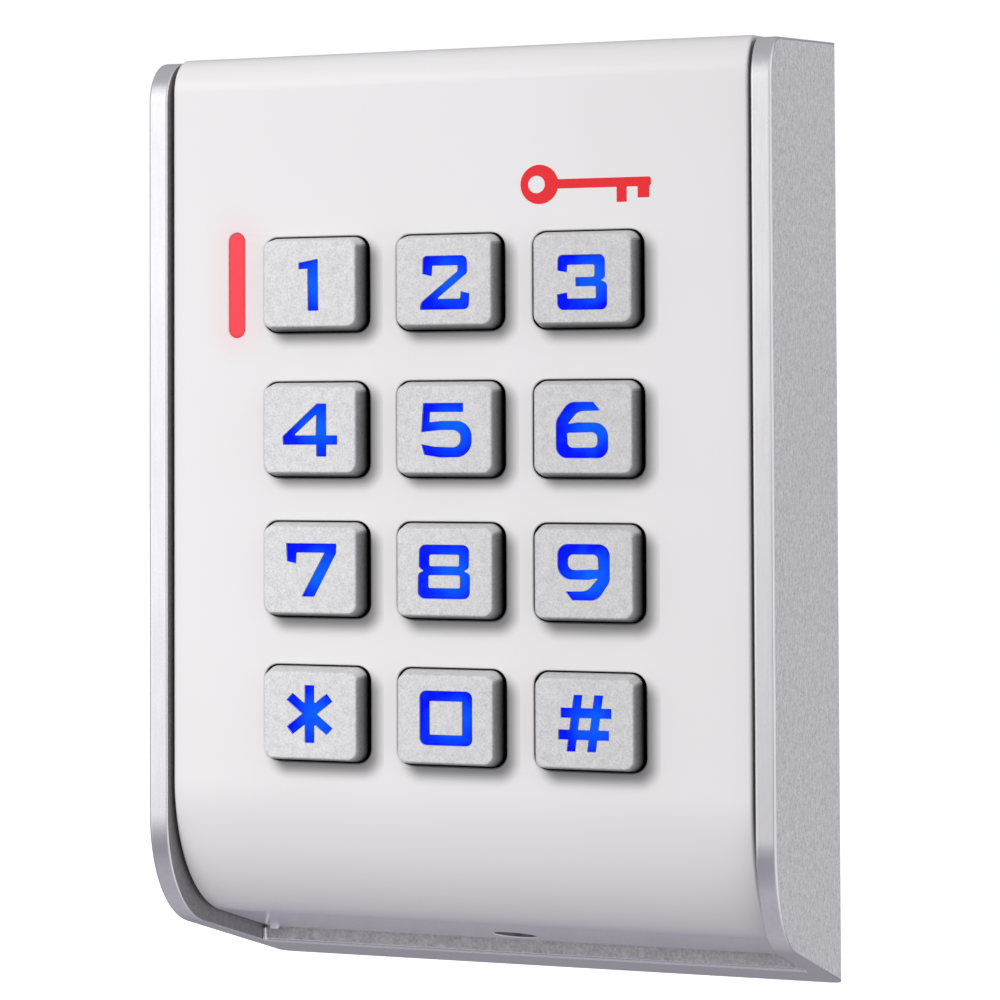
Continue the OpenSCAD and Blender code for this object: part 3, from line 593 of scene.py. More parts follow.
def cheek(shape, s):
    """One cheek: a stack of outlines from its outer face in, with rounded edges."""
    e_out, e_in, back = 0.32, 0.20, 2.0
    cuts_t, cuts_b = (35.6, 35.0), (30.0, 30.8)
    rows = []
    ds = [e_out * (1 - math.cos(math.radians(a))) for a in (0, 15, 30, 45, 60, 75, 90)]
    ds += [0.5, 0.7, 0.95, 1.2, 1.5, 1.75, 2.0, 2.1]
    ds += [CHEEK - e_in * (1 - math.sin(math.radians(a))) for a in (0, 18, 36, 54, 72, 90)]
    for d in ds:
        f_out = e_out - math.sqrt(max(0.0, e_out ** 2 - (e_out - d) ** 2)) if d < e_out else 0.0
        k = CHEEK - d
        f_in = e_in - math.sqrt(max(0.0, e_in ** 2 - (e_in - k) ** 2)) if k < e_in else 0.0
        b = back - math.sqrt(max(0.0, back ** 2 - (back - d) ** 2)) if d < back else 0.0
        ub = D - b
        base = side(*HSG, ub, ub, off=f_out, top_cuts=cuts_t, bot_cuts=cuts_b)
        if f_in:
            trimmed = side(*HSG, ub, ub, off=f_in, top_cuts=cuts_t, bot_cuts=cuts_b)
            # the inner edge is rounded only where it is free, in front of the two walls
            base = [q if 1 < i < len(base) - 2 else p for i, (p, q) in enumerate(zip(base, trimmed))]
        rows.append((d, base))
    rings = [shape.ring([(s * (HW - d), u - D, z) for u, z in pts]) for d, pts in rows]
    n_out = 7
    for i, (a, b) in enumerate(zip(rings, rings[1:])):
        n = len(a)
        for j in range(n - 1):
            shape.face((a[j], a[j + 1], b[j + 1], b[j]), 1)
        shape.face((a[n - 1], a[0], b[0], b[n - 1]), 0)
    shape.face(rings[0], 0)
    shape.face(rings[-1], 3)


def build_housing():
    s = Shape()
    for sgn in (-1, 1):
        cheek(s, sgn)
    x_in = HW - CHEEK

    def bot(u):
        return UND0 - math.tan(UND_A) * u

    def top(u):
        return TOP0 + math.tan(TOP_A) * u

    # bottom wall with its step; the edge between step and underside is rounded
    prof = [(STEP_U, bot(STEP_U)), (D, bot(D)), (D, bot(D) + WALL), (STEP_U + 1.8, bot(STEP_U + 1.8) + WALL),
            (STEP_U + 1.8, -51.6), (STEP_U, -51.6)]
    r, turn = 0.6, math.radians(90 - 17.1)
    t = r * math.tan((math.pi - (math.pi - turn)) / 2)
    cu, cz = STEP_U + r, bot(STEP_U) + t
    arc_pts = []
    a0, a1 = math.pi, math.pi + turn
    for k in range(9):
        a = a0 + (a1 - a0) * k / 8
        arc_pts.append((cu + r * math.cos(a), cz + r * math.sin(a)))
    n_arc = len(arc_pts)
    prof = arc_pts + prof[1:]
    a = s.ring([(-x_in, u - D, z) for u, z in prof])
    b = s.ring([(x_in, u - D, z) for u, z in prof])
    n = len(prof)
    for i in range(n):
        j = (i + 1) % n
        u0, u1 = prof[i][0], prof[j][0]
        is_step = u0 == STEP_U and abs(u1 - STEP_U) < 1e-6 or i == n - 1
        s.face((a[i], a[j], b[j], b[i]), 2 if is_step else 1)
    for x in (-x_in, x_in):
        s.fill([prof], lambda p, x=x: (x, p[0] - D, p[1]), 0)
    # top wall behind the cover
    f = 0.3
    u0 = TOP_END + 0.4
    prof = [(D, top(D)), (D, top(D) - WALL), (u0, top(u0) - WALL), (u0, top(u0) - f)]
    prof += [(u0 + f * (1 - math.cos(math.radians(q))), top(u0) - f + f * math.sin(math.radians(q))) for q in (18, 36, 54, 72, 90)]
    s.prism(prof, -x_in, x_in, 1)
    # flange for the seal, lugs for the cover screws, ribs at the cover's lower corners
    outer, inner = rrect(2 * x_in - 0.02, 113.2, 0.5, 0, 0.45), rrect(66.2, 108.5, 1.5, 0, 0.65)
    for y in (-5.0, -3.5):
        s.fill([outer, inner], lambda p, y=y: (p[0], y, p[1]), 0)
    for lp in (outer, inner):
        s.tube([[(x, -5.0, z) for x, z in lp], [(x, -3.5, z) for x, z in lp]], mat=0)
    for px, pz in ((-31.2, -46.8), (31.2, -46.8), (-31.2, 51.2), (31.2, 51.2)):
        lo, hi = (-x_in, -27.4) if px < 0 else (27.4, x_in)
        hole = arc((px, pz), 1.6, 0, 360, 28)[:-1]
        out = [(lo, pz - 3.8), (hi, pz - 3.8), (hi, pz + 3.8), (lo, pz + 3.8)]
        for y in (-13.5, -11.5):
            s.fill([out, hole], lambda p, y=y: (p[0], y, p[1]), 0)
        for lp in (out, hole):
            s.tube([[(x, -13.5, z) for x, z in lp], [(x, -11.5, z) for x, z in lp]], mat=0)
    for sgn in (-1, 1):
        x0, x1 = sorted((sgn * (x_in + 0.05), sgn * (x_in - 0.55)))
        s.box(x0, x1, STEP_U - 0.9 - D, STEP_U + 0.1 - D, bot(STEP_U) + 0.2, -54.5, 0.22, 4, 1)
    return s.make("housing_shell", [M_FACE, M_RIM, M_STEP_SHADED, M_INNER_SHADED], replaces=["housing"])


# ---------------------------------------------------------------- front cover
COV = (COV_SET, COV_TOP0, COV_A, COV_RT, COV_UND0, UND_A, COV_RU)
COV_I = (COV_SET + COV_T, COV_TOP0 - COV_T / math.cos(COV_A), COV_A, COV_RT - COV_T,
         COV_UND0 + COV_T / math.cos(UND_A), UND_A, COV_RU - COV_T)


def key_centres():
    return [(PADX + c * PX, PADZ + r * PZ + ROW_DZ[r]) for _, c, r in KEYS]


def build_cover():
    s = Shape()
    e = 0.42
    nt, nb = 14, 40
    flat_a, flat_b = 1 + nt, 2 + nt          # the front line runs between these two outline points
    fac_a, fac_b = 2 + nt + nb, 3 + nt + nb  # the underside runs between these two
    angles = [0, 15, 30, 45, 60, 75, 90]

    def outline(off, ue_t=TOP_END, ue_b=UND_END):
        return side(*COV, ue_t, ue_b, off=off)

    # outer skin from the left rounded edge over to the right one
    xs, offs = [], []
    for a in reversed(angles):
        xs.append(-(COV_HW - e + e * math.sin(math.radians(a))))
        offs.append(e * (1 - math.cos(math.radians(a))))
    for a in angles:
        xs.append(COV_HW - e + e * math.sin(math.radians(a)))
        offs.append(e * (1 - math.cos(math.radians(a))))
    rings = [s.ring([(x, u - D, z) for u, z in outline(o)]) for x, o in zip(xs, offs)]
    mid = len(angles) - 1
    for i, (a, b) in enumerate(zip(rings, rings[1:])):
        for j in range(len(a) - 1):
            if i == mid and j in (flat_a, fac_a):
                continue
            s.face((a[j], a[j + 1], b[j + 1], b[j]), 0)
    # the flat front with its windows
    o = outline(0)
    z_hi, z_lo = o[flat_a][1], o[flat_b][1]
    xe = COV_HW - e
    f = 0.22
    front = [(-xe, z_lo), (xe, z_lo), (xe, z_hi), (-xe, z_hi)]
    holes = []
    steps = [0, 22.5, 45, 67.5, 90]
    for cx, cz in key_centres():
        holes.append([(rrect(WIN_W + 2 * g, WIN_H + 2 * g, WIN_R + g, cx, cz), y) for g, y in
                      ((f * (1 - math.sin(math.radians(a))), Y_COVER + f * (1 - math.cos(math.radians(a)))) for a in steps)])
    g_bar = 0.14
    holes.append([(stadium(2.1 + 2 * g, 12.7 + 2 * g, BAR_X, BAR_Z), y) for g, y in
                  ((g_bar * (1 - math.sin(math.radians(a))), Y_COVER + g_bar * (1 - math.cos(math.radians(a)))) for a in steps)])
    s.fill([front] + [h[0][0] for h in holes], lambda p: (p[0], Y_COVER, p[1]))
    for h in holes:
        s.tube([[(x, y, z) for x, z in lp] for lp, y in h] + [[(x, Y_COVER_IN, z) for x, z in h[-1][0]]])
    # the facet underneath with the bore for the security screw
    u_a, u_b = o[fac_a][0], o[fac_b][0]

    def facet_z(u):
        return COV_UND0 - math.tan(UND_A) * u

    bore = [(2.7 * math.cos(q), SEC_Y + D + 2.7 * math.sin(q)) for q in (2 * math.pi * k / 40 for k in range(40))]
    lip = offset(bore, 0.18)
    s.fill([[(-xe, u_a), (xe, u_a), (xe, u_b), (-xe, u_b)], lip], lambda p: (p[0], p[1] - D, facet_z(p[1])))
    lip_ring = [(x, u - D, facet_z(u)) for x, u in lip]
    bore_ring = [(x, u - D, facet_z(u) + 0.18) for x, u in bore]
    seat_ring = [(x, u - D, SEC_Z) for x, u in bore]
    shaft = [(1.7 * x / 2.7, SEC_Y + 1.7 * (u - D - SEC_Y) / 2.7, SEC_Z) for x, u in bore]
    back = [(x, y, SEC_Z + 1.0) for x, y, _ in shaft]
    wide_b = [(4.4 * x / 2.7, SEC_Y + 4.4 * (u - D - SEC_Y) / 2.7, SEC_Z + 1.0) for x, u in bore]
    foot = [(x, y, facet_z(y + D) + COV_T * 0.98 / math.cos(UND_A)) for x, y, _ in wide_b]
    s.tube([lip_ring, bore_ring, seat_ring, shaft, back, wide_b, foot])
    # inner skin, side walls and the rims that join them
    hin = COV_HW - 1.8
    inner = side(*COV_I, TOP_END, UND_END)
    la = s.ring([(-hin, u - D, z) for u, z in inner])
    lb = s.ring([(hin, u - D, z) for u, z in inner])
    for j in range(len(inner) - 1):
        if j in (flat_a, fac_a):
            continue
        s.face((la[j], lb[j], lb[j + 1], la[j + 1]), 0)
    zi_hi, zi_lo = inner[flat_a][1], inner[flat_b][1]
    s.fill([[(-hin, zi_lo), (hin, zi_lo), (hin, zi_hi), (-hin, zi_hi)]] + [h[-1][0] for h in holes],
           lambda p: (p[0], Y_COVER_IN, p[1]))
    ring4 = [(4.4 * x / 2.7, SEC_Y + D + 4.4 * (u - D - SEC_Y) / 2.7) for x, u in bore]
    ui_a, ui_b = inner[fac_a][0], inner[fac_b][0]
    s.fill([[(-hin, ui_a), (hin, ui_a), (hin, ui_b), (-hin, ui_b)], ring4],
           lambda p: (p[0], p[1] - D, facet_z(p[1]) + COV_T / math.cos(UND_A)))
    cut = [(UND_END, -51.0), (24.0, -51.0), (24.0, 55.3), (TOP_END, 55.3)]
    for sgn in (-1, 1):
        out = outline(e)
        s.fill([out + cut], lambda p, x=sgn * COV_HW: (x, p[0] - D, p[1]))
        s.fill([inner + cut], lambda p, x=sgn * hin: (x, p[0] - D, p[1]))
        for i in range(3):
            (u0, z0), (u1, z1) = cut[i], cut[i + 1]
            q = s.ring([(sgn * COV_HW, u0 - D, z0), (sgn * COV_HW, u1 - D, z1), (sgn * hin, u1 - D, z1), (sgn * hin, u0 - D, z0)])
            s.face(q)
    # end rims at the top and under the cover
    for u, k, zc in ((TOP_END, 0, 55.3), (UND_END, -1, -51.0)):
        loop = [(x, outline(off)[k][1]) for x, off in zip(xs, offs)]
        loop += [(COV_HW, zc), (hin, zc), (hin, inner[k][1]), (-hin, inner[k][1]), (-hin, zc), (-COV_HW, zc)]
        s.fill([loop], lambda p, u=u: (p[0], u - D, p[1]))
    # snap tabs on the lower edge
    for sgn in (-1, 1):
        z = facet_z(UND_END)
        s.box(sgn * 34.4 - 0.6, sgn * 34.4 + 0.6, UND_END - 0.8 - D, UND_END - D - 0.02, z - 0.24, z + 1.0, 0.2, 4)
    return s.make("cover_shell", [M_COVER], replaces=["front_cover"], sharp=38)


# ---------------------------------------------------------------- legends
def vbar(bar, edge, z):
    return (bar * 1.24 + edge * 0.52 + 0.14 * z, z)


def union_bars(w, lengths):
    """Outline of three crossing bars as one star-shaped polygon about the origin."""
    rays = []
    n = 720
    for i in range(n):
        a = 2 * math.pi * i / n
        best = 0.0
        for ang, length in lengths:
            t = a - math.radians(ang)
            c, s_ = abs(math.cos(t)), abs(math.sin(t))
            r = min(length / 2 / c if c > 1e-9 else 1e9, w / 2 / s_ if s_ > 1e-9 else 1e9)
            best = max(best, r)
        rays.append((best * math.cos(a), best * math.sin(a)))
    # keep only the corners
    out = []
    for i in range(n):
        a, b, c = Vector(rays[i - 1]), Vector(rays[i]), Vector(rays[(i + 1) % n])
        u, v = b - a, c - b
        if abs(u.angle_signed(v)) > 0.12:
            out.append(rays[i])
    clean = []
    for p in out:
        if not clean or (Vector(p) - Vector(clean[-1])).length > 0.12:
            clean.append(p)
    return clean


SIX = [[(1.4, 3.2, 0.04), (2.2, 2.2, 0.03), (-0.45, 2.15, 1.5), (-1.75, 0.65, 0.03), (-0.45, 0.85, 0.8), (3.15, 0.8,
       1.6), (3.15, -3.25, 1.25), (-3.15, -3.25, 1.3), (-3.15, 1.05, 1.6), (-1.65, 3.2, 1.6)], [(-1.8, -0.35, 0.12),
       (1.9, -0.25, 0.75), (1.85, -2.05, 0.6), (-1.7, -2.05, 0.6)]]
GLYPHS = {
    "1": [[(-1.15, 2.6), (1.15, 3.05), (1.2, -3.1), (-0.05, -3.1), (-0.1, 1.9), (-1.15, 1.85)]],
    "2": [[(-2.6, 3.15, 0.5), (2.65, 3.15, 0.65), (2.7, 1.1, 0.5), (-0.95, -1.9, 0.05), (1.85, -1.9, 0.05), (1.95,
          -1.05, 0.03), (2.95, -1.3, 0.03), (2.85, -3.15, 0.65), (-2.95, -3.15, 0.05), (-2.85, -2.3, 0.6), (1.55, 1.3,
          0.4), (1.55, 2, 0.15), (-1.45, 2, 0.08), (-1.55, 0.75, 0.03), (-2.65, 1.05, 0.03)]],
    "3": [[(-2.95, 3.15, 0.55), (2.75, 3.15, 0.7), (2.75, 0.4, 0.5), (2.2, 0.2, 0.05), (3, -0.15, 0.6), (3, -3.2,
          0.7), (-3, -3.2, 0.7), (-3.05, -1.4, 0.03), (-1.85, -1.2, 0.03), (-1.8, -1.9, 0.08), (1.65, -1.9, 0.15),
          (1.65, -0.5, 0.15), (-0.8, -0.5, 0.04), (-0.8, 0.55, 0.04), (1.5, 0.55, 0.3), (1.5, 2, 0.3), (-1.8, 2,
          0.08), (-1.85, 1.15, 0.03), (-3, 1.35, 0.03)]],
    "4": [[(0.8, 3.1), (1.95, 3.1), (1.95, -0.65), (3.25, -0.65), (3.25, -1.75), (1.95, -1.75), (1.95, -3.15), (0.75,
          -3.15), (0.75, -1.75), (-3.25, -1.75), (-3.3, -0.75)], [(0.75, 1.85), (0.7, -0.65), (-1.95, -0.65)]],
    "5": [[(-2.7, 3.1, 0.03), (2.05, 3.1, 0.03), (2.05, 2.05, 0.03), (-1.9, 2.05, 0.04), (-1.95, 0.85, 0.03), (-0.55,
          1, 0.8), (3.05, 1, 1.95), (3.05, -3.2, 1.95), (-0.75, -3.25, 0.8), (-2.6, -2.95, 0.05), (-2.95, -1.7, 0.03),
          (-1.35, -2, 0.9), (1.75, -2.1, 1), (1.75, -0.05, 1), (-0.75, -0.05, 0.8), (-2.95, -0.3, 0.03)]],
    "6": SIX,
    "7": [[(-3.05, 3.15), (2.95, 3.15), (2.95, 2.05), (0.3, -3.15), (-1.2, -3.15), (1.55, 2.05), (-1.8, 2.05),
          (-1.85, 0.75), (-2.95, 1)]],
    "8": [[(-2.95, 3.15, 0.8), (3, 3.15, 0.8), (2.95, 0.4, 0.55), (2.3, 0.1, 0.05), (3.1, -0.2, 0.6), (3.05, -3.15,
          0.8), (-3.15, -3.15, 0.8), (-3.1, -0.2, 0.6), (-2.4, 0.1, 0.05), (-3, 0.4, 0.55)], [(-1.75, 2, 0.2), (1.8,
          2, 0.28), (1.8, 0.65, 0.2), (-1.75, 0.65, 0.2)], [(-1.85, -0.4, 0.2), (1.9, -0.4, 0.28), (1.9, -1.9, 0.2),
          (-1.85, -1.9, 0.2)]],
    "9": [[(-q[0], -q[1]) + tuple(q[2:]) for q in lp] for lp in SIX],
    "0": [[(-3.15, 3.15, 0.8), (3.1, 3.15, 0.8), (3.1, -3.2, 0.8), (-3.15, -3.2, 0.8)], [(-1.95, 1.95, 0.08), (1.9,
          1.95, 0.08), (1.9, -1.95, 0.08), (-1.95, -1.95, 0.08)]],
    "star": [union_bars(1.15, ((90, 6.8), (40, 6.3), (-40, 6.3)))],
    "hash": [[vbar(-1, 1, 3.25), vbar(-1, -1, 3.25), vbar(-1, -1, 1.75), (-2.9, 1.75), (-2.9, 0.6), vbar(-1, -1, 0.6),
              vbar(-1, -1, -0.75), (-3.2, -0.75), (-3.2, -1.9), vbar(-1, -1, -1.9), vbar(-1, -1, -3.25),
              vbar(-1, 1, -3.25), vbar(-1, 1, -1.9), vbar(1, -1, -1.9), vbar(1, -1, -3.25), vbar(1, 1, -3.25),
              vbar(1, 1, -1.9), (2.9, -1.9), (2.9, -0.75), vbar(1, 1, -0.75), vbar(1, 1, 0.6), (3.2, 0.6), (3.2, 1.75),
              vbar(1, 1, 1.75), vbar(1, 1, 3.25), vbar(1, -1, 3.25), vbar(1, -1, 1.75), vbar(-1, 1, 1.75)],
             [vbar(-1, 1, 0.6), vbar(1, -1, 0.6), vbar(1, -1, -0.75), vbar(-1, 1, -0.75)]],
}
ROUND = {"1": 0.04, "4": 0.04, "7": 0.04, "star": 0.05, "hash": 0.04}
# each legend's place on its cap, across and up
SHIFT = {"1": (-0.11, -0.21), "2": (0.14, -0.27), "3": (0.01, -0.50), "4": (0.08, -0.33), "5": (0.24, -0.33),
         "6": (-0.11, -0.39), "7": (0.25, 0.21), "8": (-0.05, 0.21), "9": (0.01, 0.36), "star": (-0.05, 0.33),
         "0": (0.14, 0.33), "hash": (0.07, 0.21)}


def glyph_loops(g, cx, cz):
    """The legend's outlines, corners rounded, moved to the key; the first is the outer one."""
    out = []
    for k, lp in enumerate(GLYPHS[g]):
        r_out = ROUND.get(g, 0.55)
        sx = COL_SX[{name: c for name, c, _ in KEYS}[g]]
        r = rounded([(q[0] * sx,) + tuple(q[1:]) for q in lp], r_out if k == 0 else 0.10, 0.09)
        out.append([(x + cx + SHIFT[g][0], z + cz + SHIFT[g][1]) for x, z in r])
    return out


# ---------------------------------------------------------------- keys
def build_key(g, c, r):
    cx, cz = PADX + c * PX, PADZ + r * PZ
    body = "key_" + g
    s = Shape()
    re, f = 0.30, 0.03
    wz = cz + ROW_DZ[r]
    rings = []
    for a in (0, 15, 30, 45, 60, 75, 90):
        y = Y_CAP + re * (1 - math.cos(math.radians(a)))
        inset = CAP_DRAFT * (Y_COVER - y) / (Y_COVER - Y_CAP) + re * (1 - math.sin(math.radians(a)))
        rings.append((rrect(CAP_W - 2 * inset, CAP_H - 2 * inset, CAP_R - inset * 0.8, cx, wz), y))
    for k in range(1, 5):
        y = rings[6][1] + (Y_COVER - rings[6][1]) * k / 4
        inset = CAP_DRAFT * (Y_COVER - y) / (Y_COVER - Y_CAP)
        rings.append((rrect(CAP_W - 2 * inset, CAP_H - 2 * inset, CAP_R - inset * 0.8, cx, wz), y))
    loops = glyph_loops(g, cx, cz)
    lips = [offset(lp, f if k == 0 else -f) for k, lp in enumerate(loops)]
    s.fill([rings[0][0]] + lips, lambda p: (p[0], Y_CAP, p[1]))
    for lip, lp in zip(lips, loops):
        s.tube([[(x, Y_CAP, z) for x, z in lip], [(x, Y_CAP + f, z) for x, z in lp], [(x, Y_CAP + 0.8, z) for x, z in lp]])
    s.fill(loops, lambda p: (p[0], Y_CAP + 0.8, p[1]))
    outer = [[(x, y, z) for x, z in lp] for lp, y in rings]
    last = rings[-1][0]
    fl = rrect(CAP_W + 2.4, CAP_H + 2.4, CAP_R + 0.4, cx, cz)
    pocket = rrect(9.4, 7.8, 0.8, cx, cz)
    outer.append([(x, Y_FLANGE, z) for x, z in last])
    outer.append([(x, Y_FLANGE, z) for x, z in fl])
    outer.append([(x, Y_FLANGE_B, z) for x, z in fl])
    outer.append([(x, Y_FLANGE_B, z) for x, z in pocket])
    outer.append([(x, Y_CAP + 2.3, z) for x, z in pocket])
    s.tube(outer, close_last=True)
    s.make("cap_" + g, [M_CAP], body=body, replaces=[body + "_cap"], sharp=40)
    t = Shape()
    low = [offset(lp, -0.02 if k == 0 else 0.02) for k, lp in enumerate(loops)]
    face = [offset(lp, -0.035 if k == 0 else 0.035) for k, lp in enumerate(loops)]
    t.fill(face, lambda p: (p[0], Y_CAP + 0.30, p[1]))
    t.fill(low, lambda p: (p[0], Y_CAP + 0.78, p[1]))
    for a, b in zip(face, low):
        t.tube([[(x, Y_CAP + 0.30, z) for x, z in a], [(x, Y_CAP + 0.34, z) for x, z in b], [(x, Y_CAP + 0.78, z) for x, z in b]])
    t.make("legend_" + g, [M_BLUE], body=body, replaces=[body + "_legend"])


def build_lens():
    s = Shape()
    rings = []
    e = 0.28
    for a in (0, 18, 36, 54, 72, 90):
        inset = e * (1 - math.sin(math.radians(a)))
        rings.append((stadium(2.0 - 2 * inset, 12.6 - 2 * inset, BAR_X, BAR_Z), Y_COVER + 0.12 + 0.5 * e * (1 - math.cos(math.radians(a)))))
    rings.append((stadium(2.0, 12.6, BAR_X, BAR_Z), Y_COVER_IN))
    rings.append((stadium(3.9, 14.5, BAR_X, BAR_Z), Y_COVER_IN))
    rings.append((stadium(3.9, 14.5, BAR_X, BAR_Z), Y_COVER_IN + 1))
    rings.append((stadium(1.6, 12.2, BAR_X, BAR_Z), Y_COVER_IN + 1))
    rings.append((stadium(1.6, 12.2, BAR_X, BAR_Z), Y_BOARD - 1.2))
    s.tube([[(x, y, z) for x, z in lp] for lp, y in rings], close_first=True, close_last=True)
    s.make("status_bar", [M_RED], replaces=["status_lens"])


def build_print():
    """A generic key pictogram, printed in red where the cover carries its marking."""
    cx, cz, rr = 10.8, 39.3, 2.3
    q = math.degrees(math.asin(0.55 / rr))
    outer = arc((cx, cz), rr, q, 360 - q, 48)
    outer += [(20.1, 38.75), (20.1, 37.0), (21.3, 37.0), (21.3, 38.75), (22.6, 38.75), (22.6, 37.45), (24.0, 37.45),
              (24.0, 38.75), (24.2, 38.95), (24.2, 39.65), (24.0, 39.85)]
    hole = arc((cx - 0.35, cz), 1.02, 0, 360, 32)[:-1]
    s = Shape()
    outer = ccw(outer)
    for y in (Y_COVER - 0.02, Y_COVER + 0.01):
        s.fill([outer, hole], lambda p, y=y: (p[0], y, p[1]))
    for lp in (outer, hole):
        s.tube([[(x, Y_COVER - 0.02, z) for x, z in lp], [(x, Y_COVER + 0.01, z) for x, z in lp]])
    s.make("printed_key_sign", [M_PRINT])


build_housing()
build_cover()
for key in KEYS:
    build_key(*key)
build_lens()
build_print()

# ---------------------------------------------------------------- CAD nodes that stay
M_PLATE = moulded("plate_grey_plastic", (0.27, 0.27, 0.28), 0.55, 0.35, 0.06, 0.3, 0.04)
M_RUBBER = moulded("rubber_black", (0.022, 0.022, 0.023), 0.72, 0.25, 0.25, 0.35, 0.04, spec=0.3)
M_STEEL = metal("screw_steel_bright", (0.62, 0.61, 0.60), 0.30)
M_SILICONE = moulded("silicone_milky", (0.70, 0.70, 0.68), 0.5, 0.4, 0.05, 0.15, 0.03)
M_BOARD = board_green()
M_LED = moulded("led_clear_resin", (0.80, 0.80, 0.72), 0.2, 0.3, 0.06, 0.05, 0.01)
M_LEDR = moulded("led_red_resin", (0.70, 0.05, 0.04), 0.22, 0.3, 0.1, 0.05, 0.01)
M_COIL = metal("coil_enamelled_copper", (0.72, 0.33, 0.16), 0.32, (1.0, 6.0, 1.0), 0.5)
M_BRASS = metal("standoff_brass", (0.72, 0.55, 0.26), 0.3)
M_BLACK = moulded("black_moulding", (0.020, 0.020, 0.021), 0.45, 0.3, 0.2, 0.2, 0.03)
M_RELAY = moulded("relay_blue_case", (0.03, 0.11, 0.42), 0.3, 0.4, 0.08, 0.1, 0.02, coat=0.2)
M_TERM = moulded("terminal_green_plastic", (0.05, 0.34, 0.12), 0.42, 0.4, 0.1, 0.15, 0.03)
M_CAN = metal("capacitor_sleeve", (0.30, 0.36, 0.45), 0.35)
M_TAN = moulded("sensor_ceramic_tan", (0.55, 0.40, 0.24), 0.5, 0.3, 0.1, 0.2, 0.03)

LOOKS = {
    "back_plate": M_PLATE, "rear_seal": M_RUBBER, "cable_grommet": M_RUBBER, "security_screw": M_STEEL,
    "cover_screws": M_STEEL, "key_mat": M_SILICONE, "key_board": M_BOARD, "key_leds": M_LED, "status_leds": M_LEDR,
    "reader_coil": M_COIL, "board_standoffs": M_BRASS, "board_screws": M_STEEL, "main_board": M_BOARD,
    "board_header": M_BLACK, "mcu_chip": M_BLACK, "relay": M_RELAY, "buzzer": M_BLACK, "terminal_block": M_TERM,
    "capacitors": M_CAN, "tamper_sensor": M_TAN,
}
for g, _, _ in KEYS:
    LOOKS["key_%s_plunger" % g] = M_SILICONE
BEVEL = {"back_plate": 0.25, "cable_grommet": 0.3, "security_screw": 0.12, "cover_screws": 0.12, "relay": 0.3,
         "terminal_block": 0.2, "buzzer": 0.3, "capacitors": 0.4, "rear_seal": 0.1}
for name, m in LOOKS.items():
    ob = nodes[name]
    if not ob.material_slots:
        ob.data.materials.append(m)
    for sl in ob.material_slots:
        sl.material = m
    if name in BEVEL:
        b = ob.modifiers.new("edge", "BEVEL")
        b.width = BEVEL[name] * MM
        b.segments = 2
        b.limit_method = "ANGLE"
        b.angle_limit = math.radians(50)

# ---------------------------------------------------------------- stage
W = bpy.data.worlds.new("studio")
bpy.context.scene.world = W
W.use_nodes = True
wt = W.node_tree
wt.nodes.clear()


def wn(kind, **props):
    n = wt.nodes.new(kind)
    for k, v in props.items():
        setattr(n, k, v)
    return n


def glow_term(direction, lo, hi, colour, power):
    """Light from round one direction, as a colour socket."""
    d = wn("ShaderNodeVectorMath", operation="DOT_PRODUCT")
    wt.links.new(wcoord.outputs["Generated"], d.inputs[0])
    v = Vector(direction).normalized()
    d.inputs[1].default_value = v
    m = wn("ShaderNodeMapRange", interpolation_type="SMOOTHSTEP")
    wt.links.new(d.outputs["Value"], m.inputs["Value"])
    m.inputs["From Min"].default_value = lo
    m.inputs["From Max"].default_value = hi
    s = wn("ShaderNodeVectorMath", operation="SCALE")
    s.inputs[0].default_value = tuple(c * power for c in colour)
    wt.links.new(m.outputs[0], s.inputs["Scale"])
    return s.outputs[0]


wcoord = wn("ShaderNodeTexCoord")
terms = [
    glow_term((-0.62, -0.76, 0.20), 0.70, 1.0, (1.0, 0.998, 0.99), 0.80),
    glow_term((0, -1, 0.1), 0.2, 0.8, (0.98, 0.98, 1.0), 0.16),
    glow_term((0, 0, 1), 0.0, 0.9, (1.0, 1.0, 1.0), 0.22),
    glow_term((0, -0.1, -1), 0.35, 1.0, (0.97, 0.93, 1.03), 0.27),
    glow_term((-0.25, 0.88, -0.38), 0.3, 0.95, (0.95, 0.90, 1.08), 0.10),
    glow_term((-0.40, -0.90, 0.15), 0.93, 0.99, (1.0, 1.0, 1.0), 0.17),
    glow_term((-0.34, -0.77, -0.54), 0.91, 0.995, (1.0, 1.0, 1.0), -0.20),
    glow_term((1, -0.15, -0.05), 0.1, 0.95, (0.99, 0.99, 1.0), 0.66),
]
base = wn("ShaderNodeVectorMath", operation="ADD")
base.inputs[0].default_value = (0.203, 0.196, 0.220)
wt.links.new(terms[0], base.inputs[1])
acc = base.outputs[0]
for tsock in terms[1:]:
    a = wn("ShaderNodeVectorMath", operation="ADD")
    wt.links.new(acc, a.inputs[0])
    wt.links.new(tsock, a.inputs[1])
    acc = a.outputs[0]
bg = wn("ShaderNodeBackground")
wt.links.new(acc, bg.inputs["Color"])
bg.inputs["Strength"].default_value = 1.0
white = wn("ShaderNodeBackground")
white.inputs["Color"].default_value = (1, 1, 1, 1)
white.inputs["Strength"].default_value = 1.02
lp = wn("ShaderNodeLightPath")
mixs = wn("ShaderNodeMixShader")
wt.links.new(lp.outputs["Is Camera Ray"], mixs.inputs[0])
wt.links.new(bg.outputs[0], mixs.inputs[1])
wt.links.new(white.outputs[0], mixs.inputs[2])
wout = wn("ShaderNodeOutputWorld")
wt.links.new(mixs.outputs[0], wout.inputs[0])

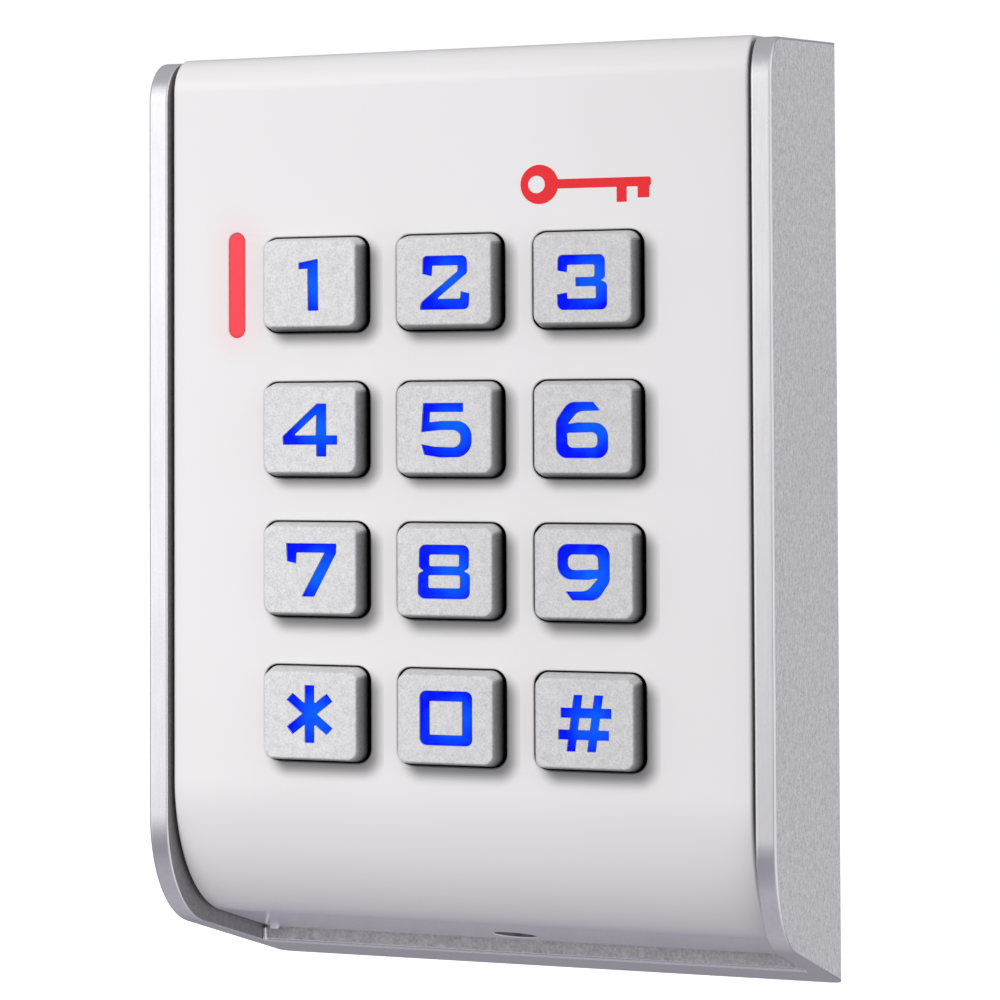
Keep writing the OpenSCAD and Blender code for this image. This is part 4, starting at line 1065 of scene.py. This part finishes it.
bm = bmesh.new()
bmesh.ops.create_grid(bm, x_segments=4, y_segments=4, size=3.0)
me = bpy.data.meshes.new("floor")
bm.to_mesh(me)
bm.free()
floor = bpy.data.objects.new("floor", me)
floor.location = (0, 0, -0.115)
bpy.context.scene.collection.objects.link(floor)
ft = Tree("floor_white")
ft.set(color=(0.9, 0.9, 0.9), rough=0.8, emit=(1, 1, 1), emit_power=0.62)
me.materials.append(ft.mat)
floor.visible_diffuse = False
floor.visible_glossy = False


def area_light(name, loc, target, size, power, colour=(1, 1, 1), size_y=None):
    ld = bpy.data.lights.new(name, "AREA")
    ld.energy = power
    ld.size = size
    if size_y:
        ld.shape = "RECTANGLE"
        ld.size_y = size_y
    ld.color = colour
    ob = bpy.data.objects.new(name, ld)
    ob.location = loc
    ob.rotation_euler = (Vector(target) - Vector(loc)).to_track_quat("-Z", "Y").to_euler()
    bpy.context.scene.collection.objects.link(ob)
    return ob


area_light("key_softbox", (-0.40, -0.95, 0.50), (0, -0.03, 0), 0.50, 5.8, (1.0, 1.0, 0.985)).visible_glossy = False

# camera at the photograph's viewpoint
yaw, pitch, roll = 0.296277, 0.027069, -0.0040857
fwd = Vector((-math.sin(yaw) * math.cos(pitch), math.cos(yaw) * math.cos(pitch), math.sin(pitch)))
right = Vector((math.cos(yaw), math.sin(yaw), 0.0))
up = right.cross(fwd)
r2 = right * math.cos(roll) + up * math.sin(roll)
u2 = -right * math.sin(roll) + up * math.cos(roll)
cd = bpy.data.cameras.new("camera")
cam = bpy.data.objects.new("camera", cd)
bpy.context.scene.collection.objects.link(cam)
cam.matrix_world = Matrix(((r2.x, u2.x, -fwd.x, 0.098676), (r2.y, u2.y, -fwd.y, -0.339847),
                           (r2.z, u2.z, -fwd.z, 0.012514), (0, 0, 0, 1)))
cd.sensor_width = 36.0
cd.lens = 2671.72 * 0.036
cd.shift_x = (500 - 514.26) / 1000
cd.shift_y = (342.07 - 500) / 1000
cd.clip_start = 0.01
cd.clip_end = 20
bpy.context.scene.camera = cam
bpy.context.scene.view_settings.view_transform = "Standard"
bpy.context.scene.view_settings.look = "None"

bpy.context.view_layer.update()
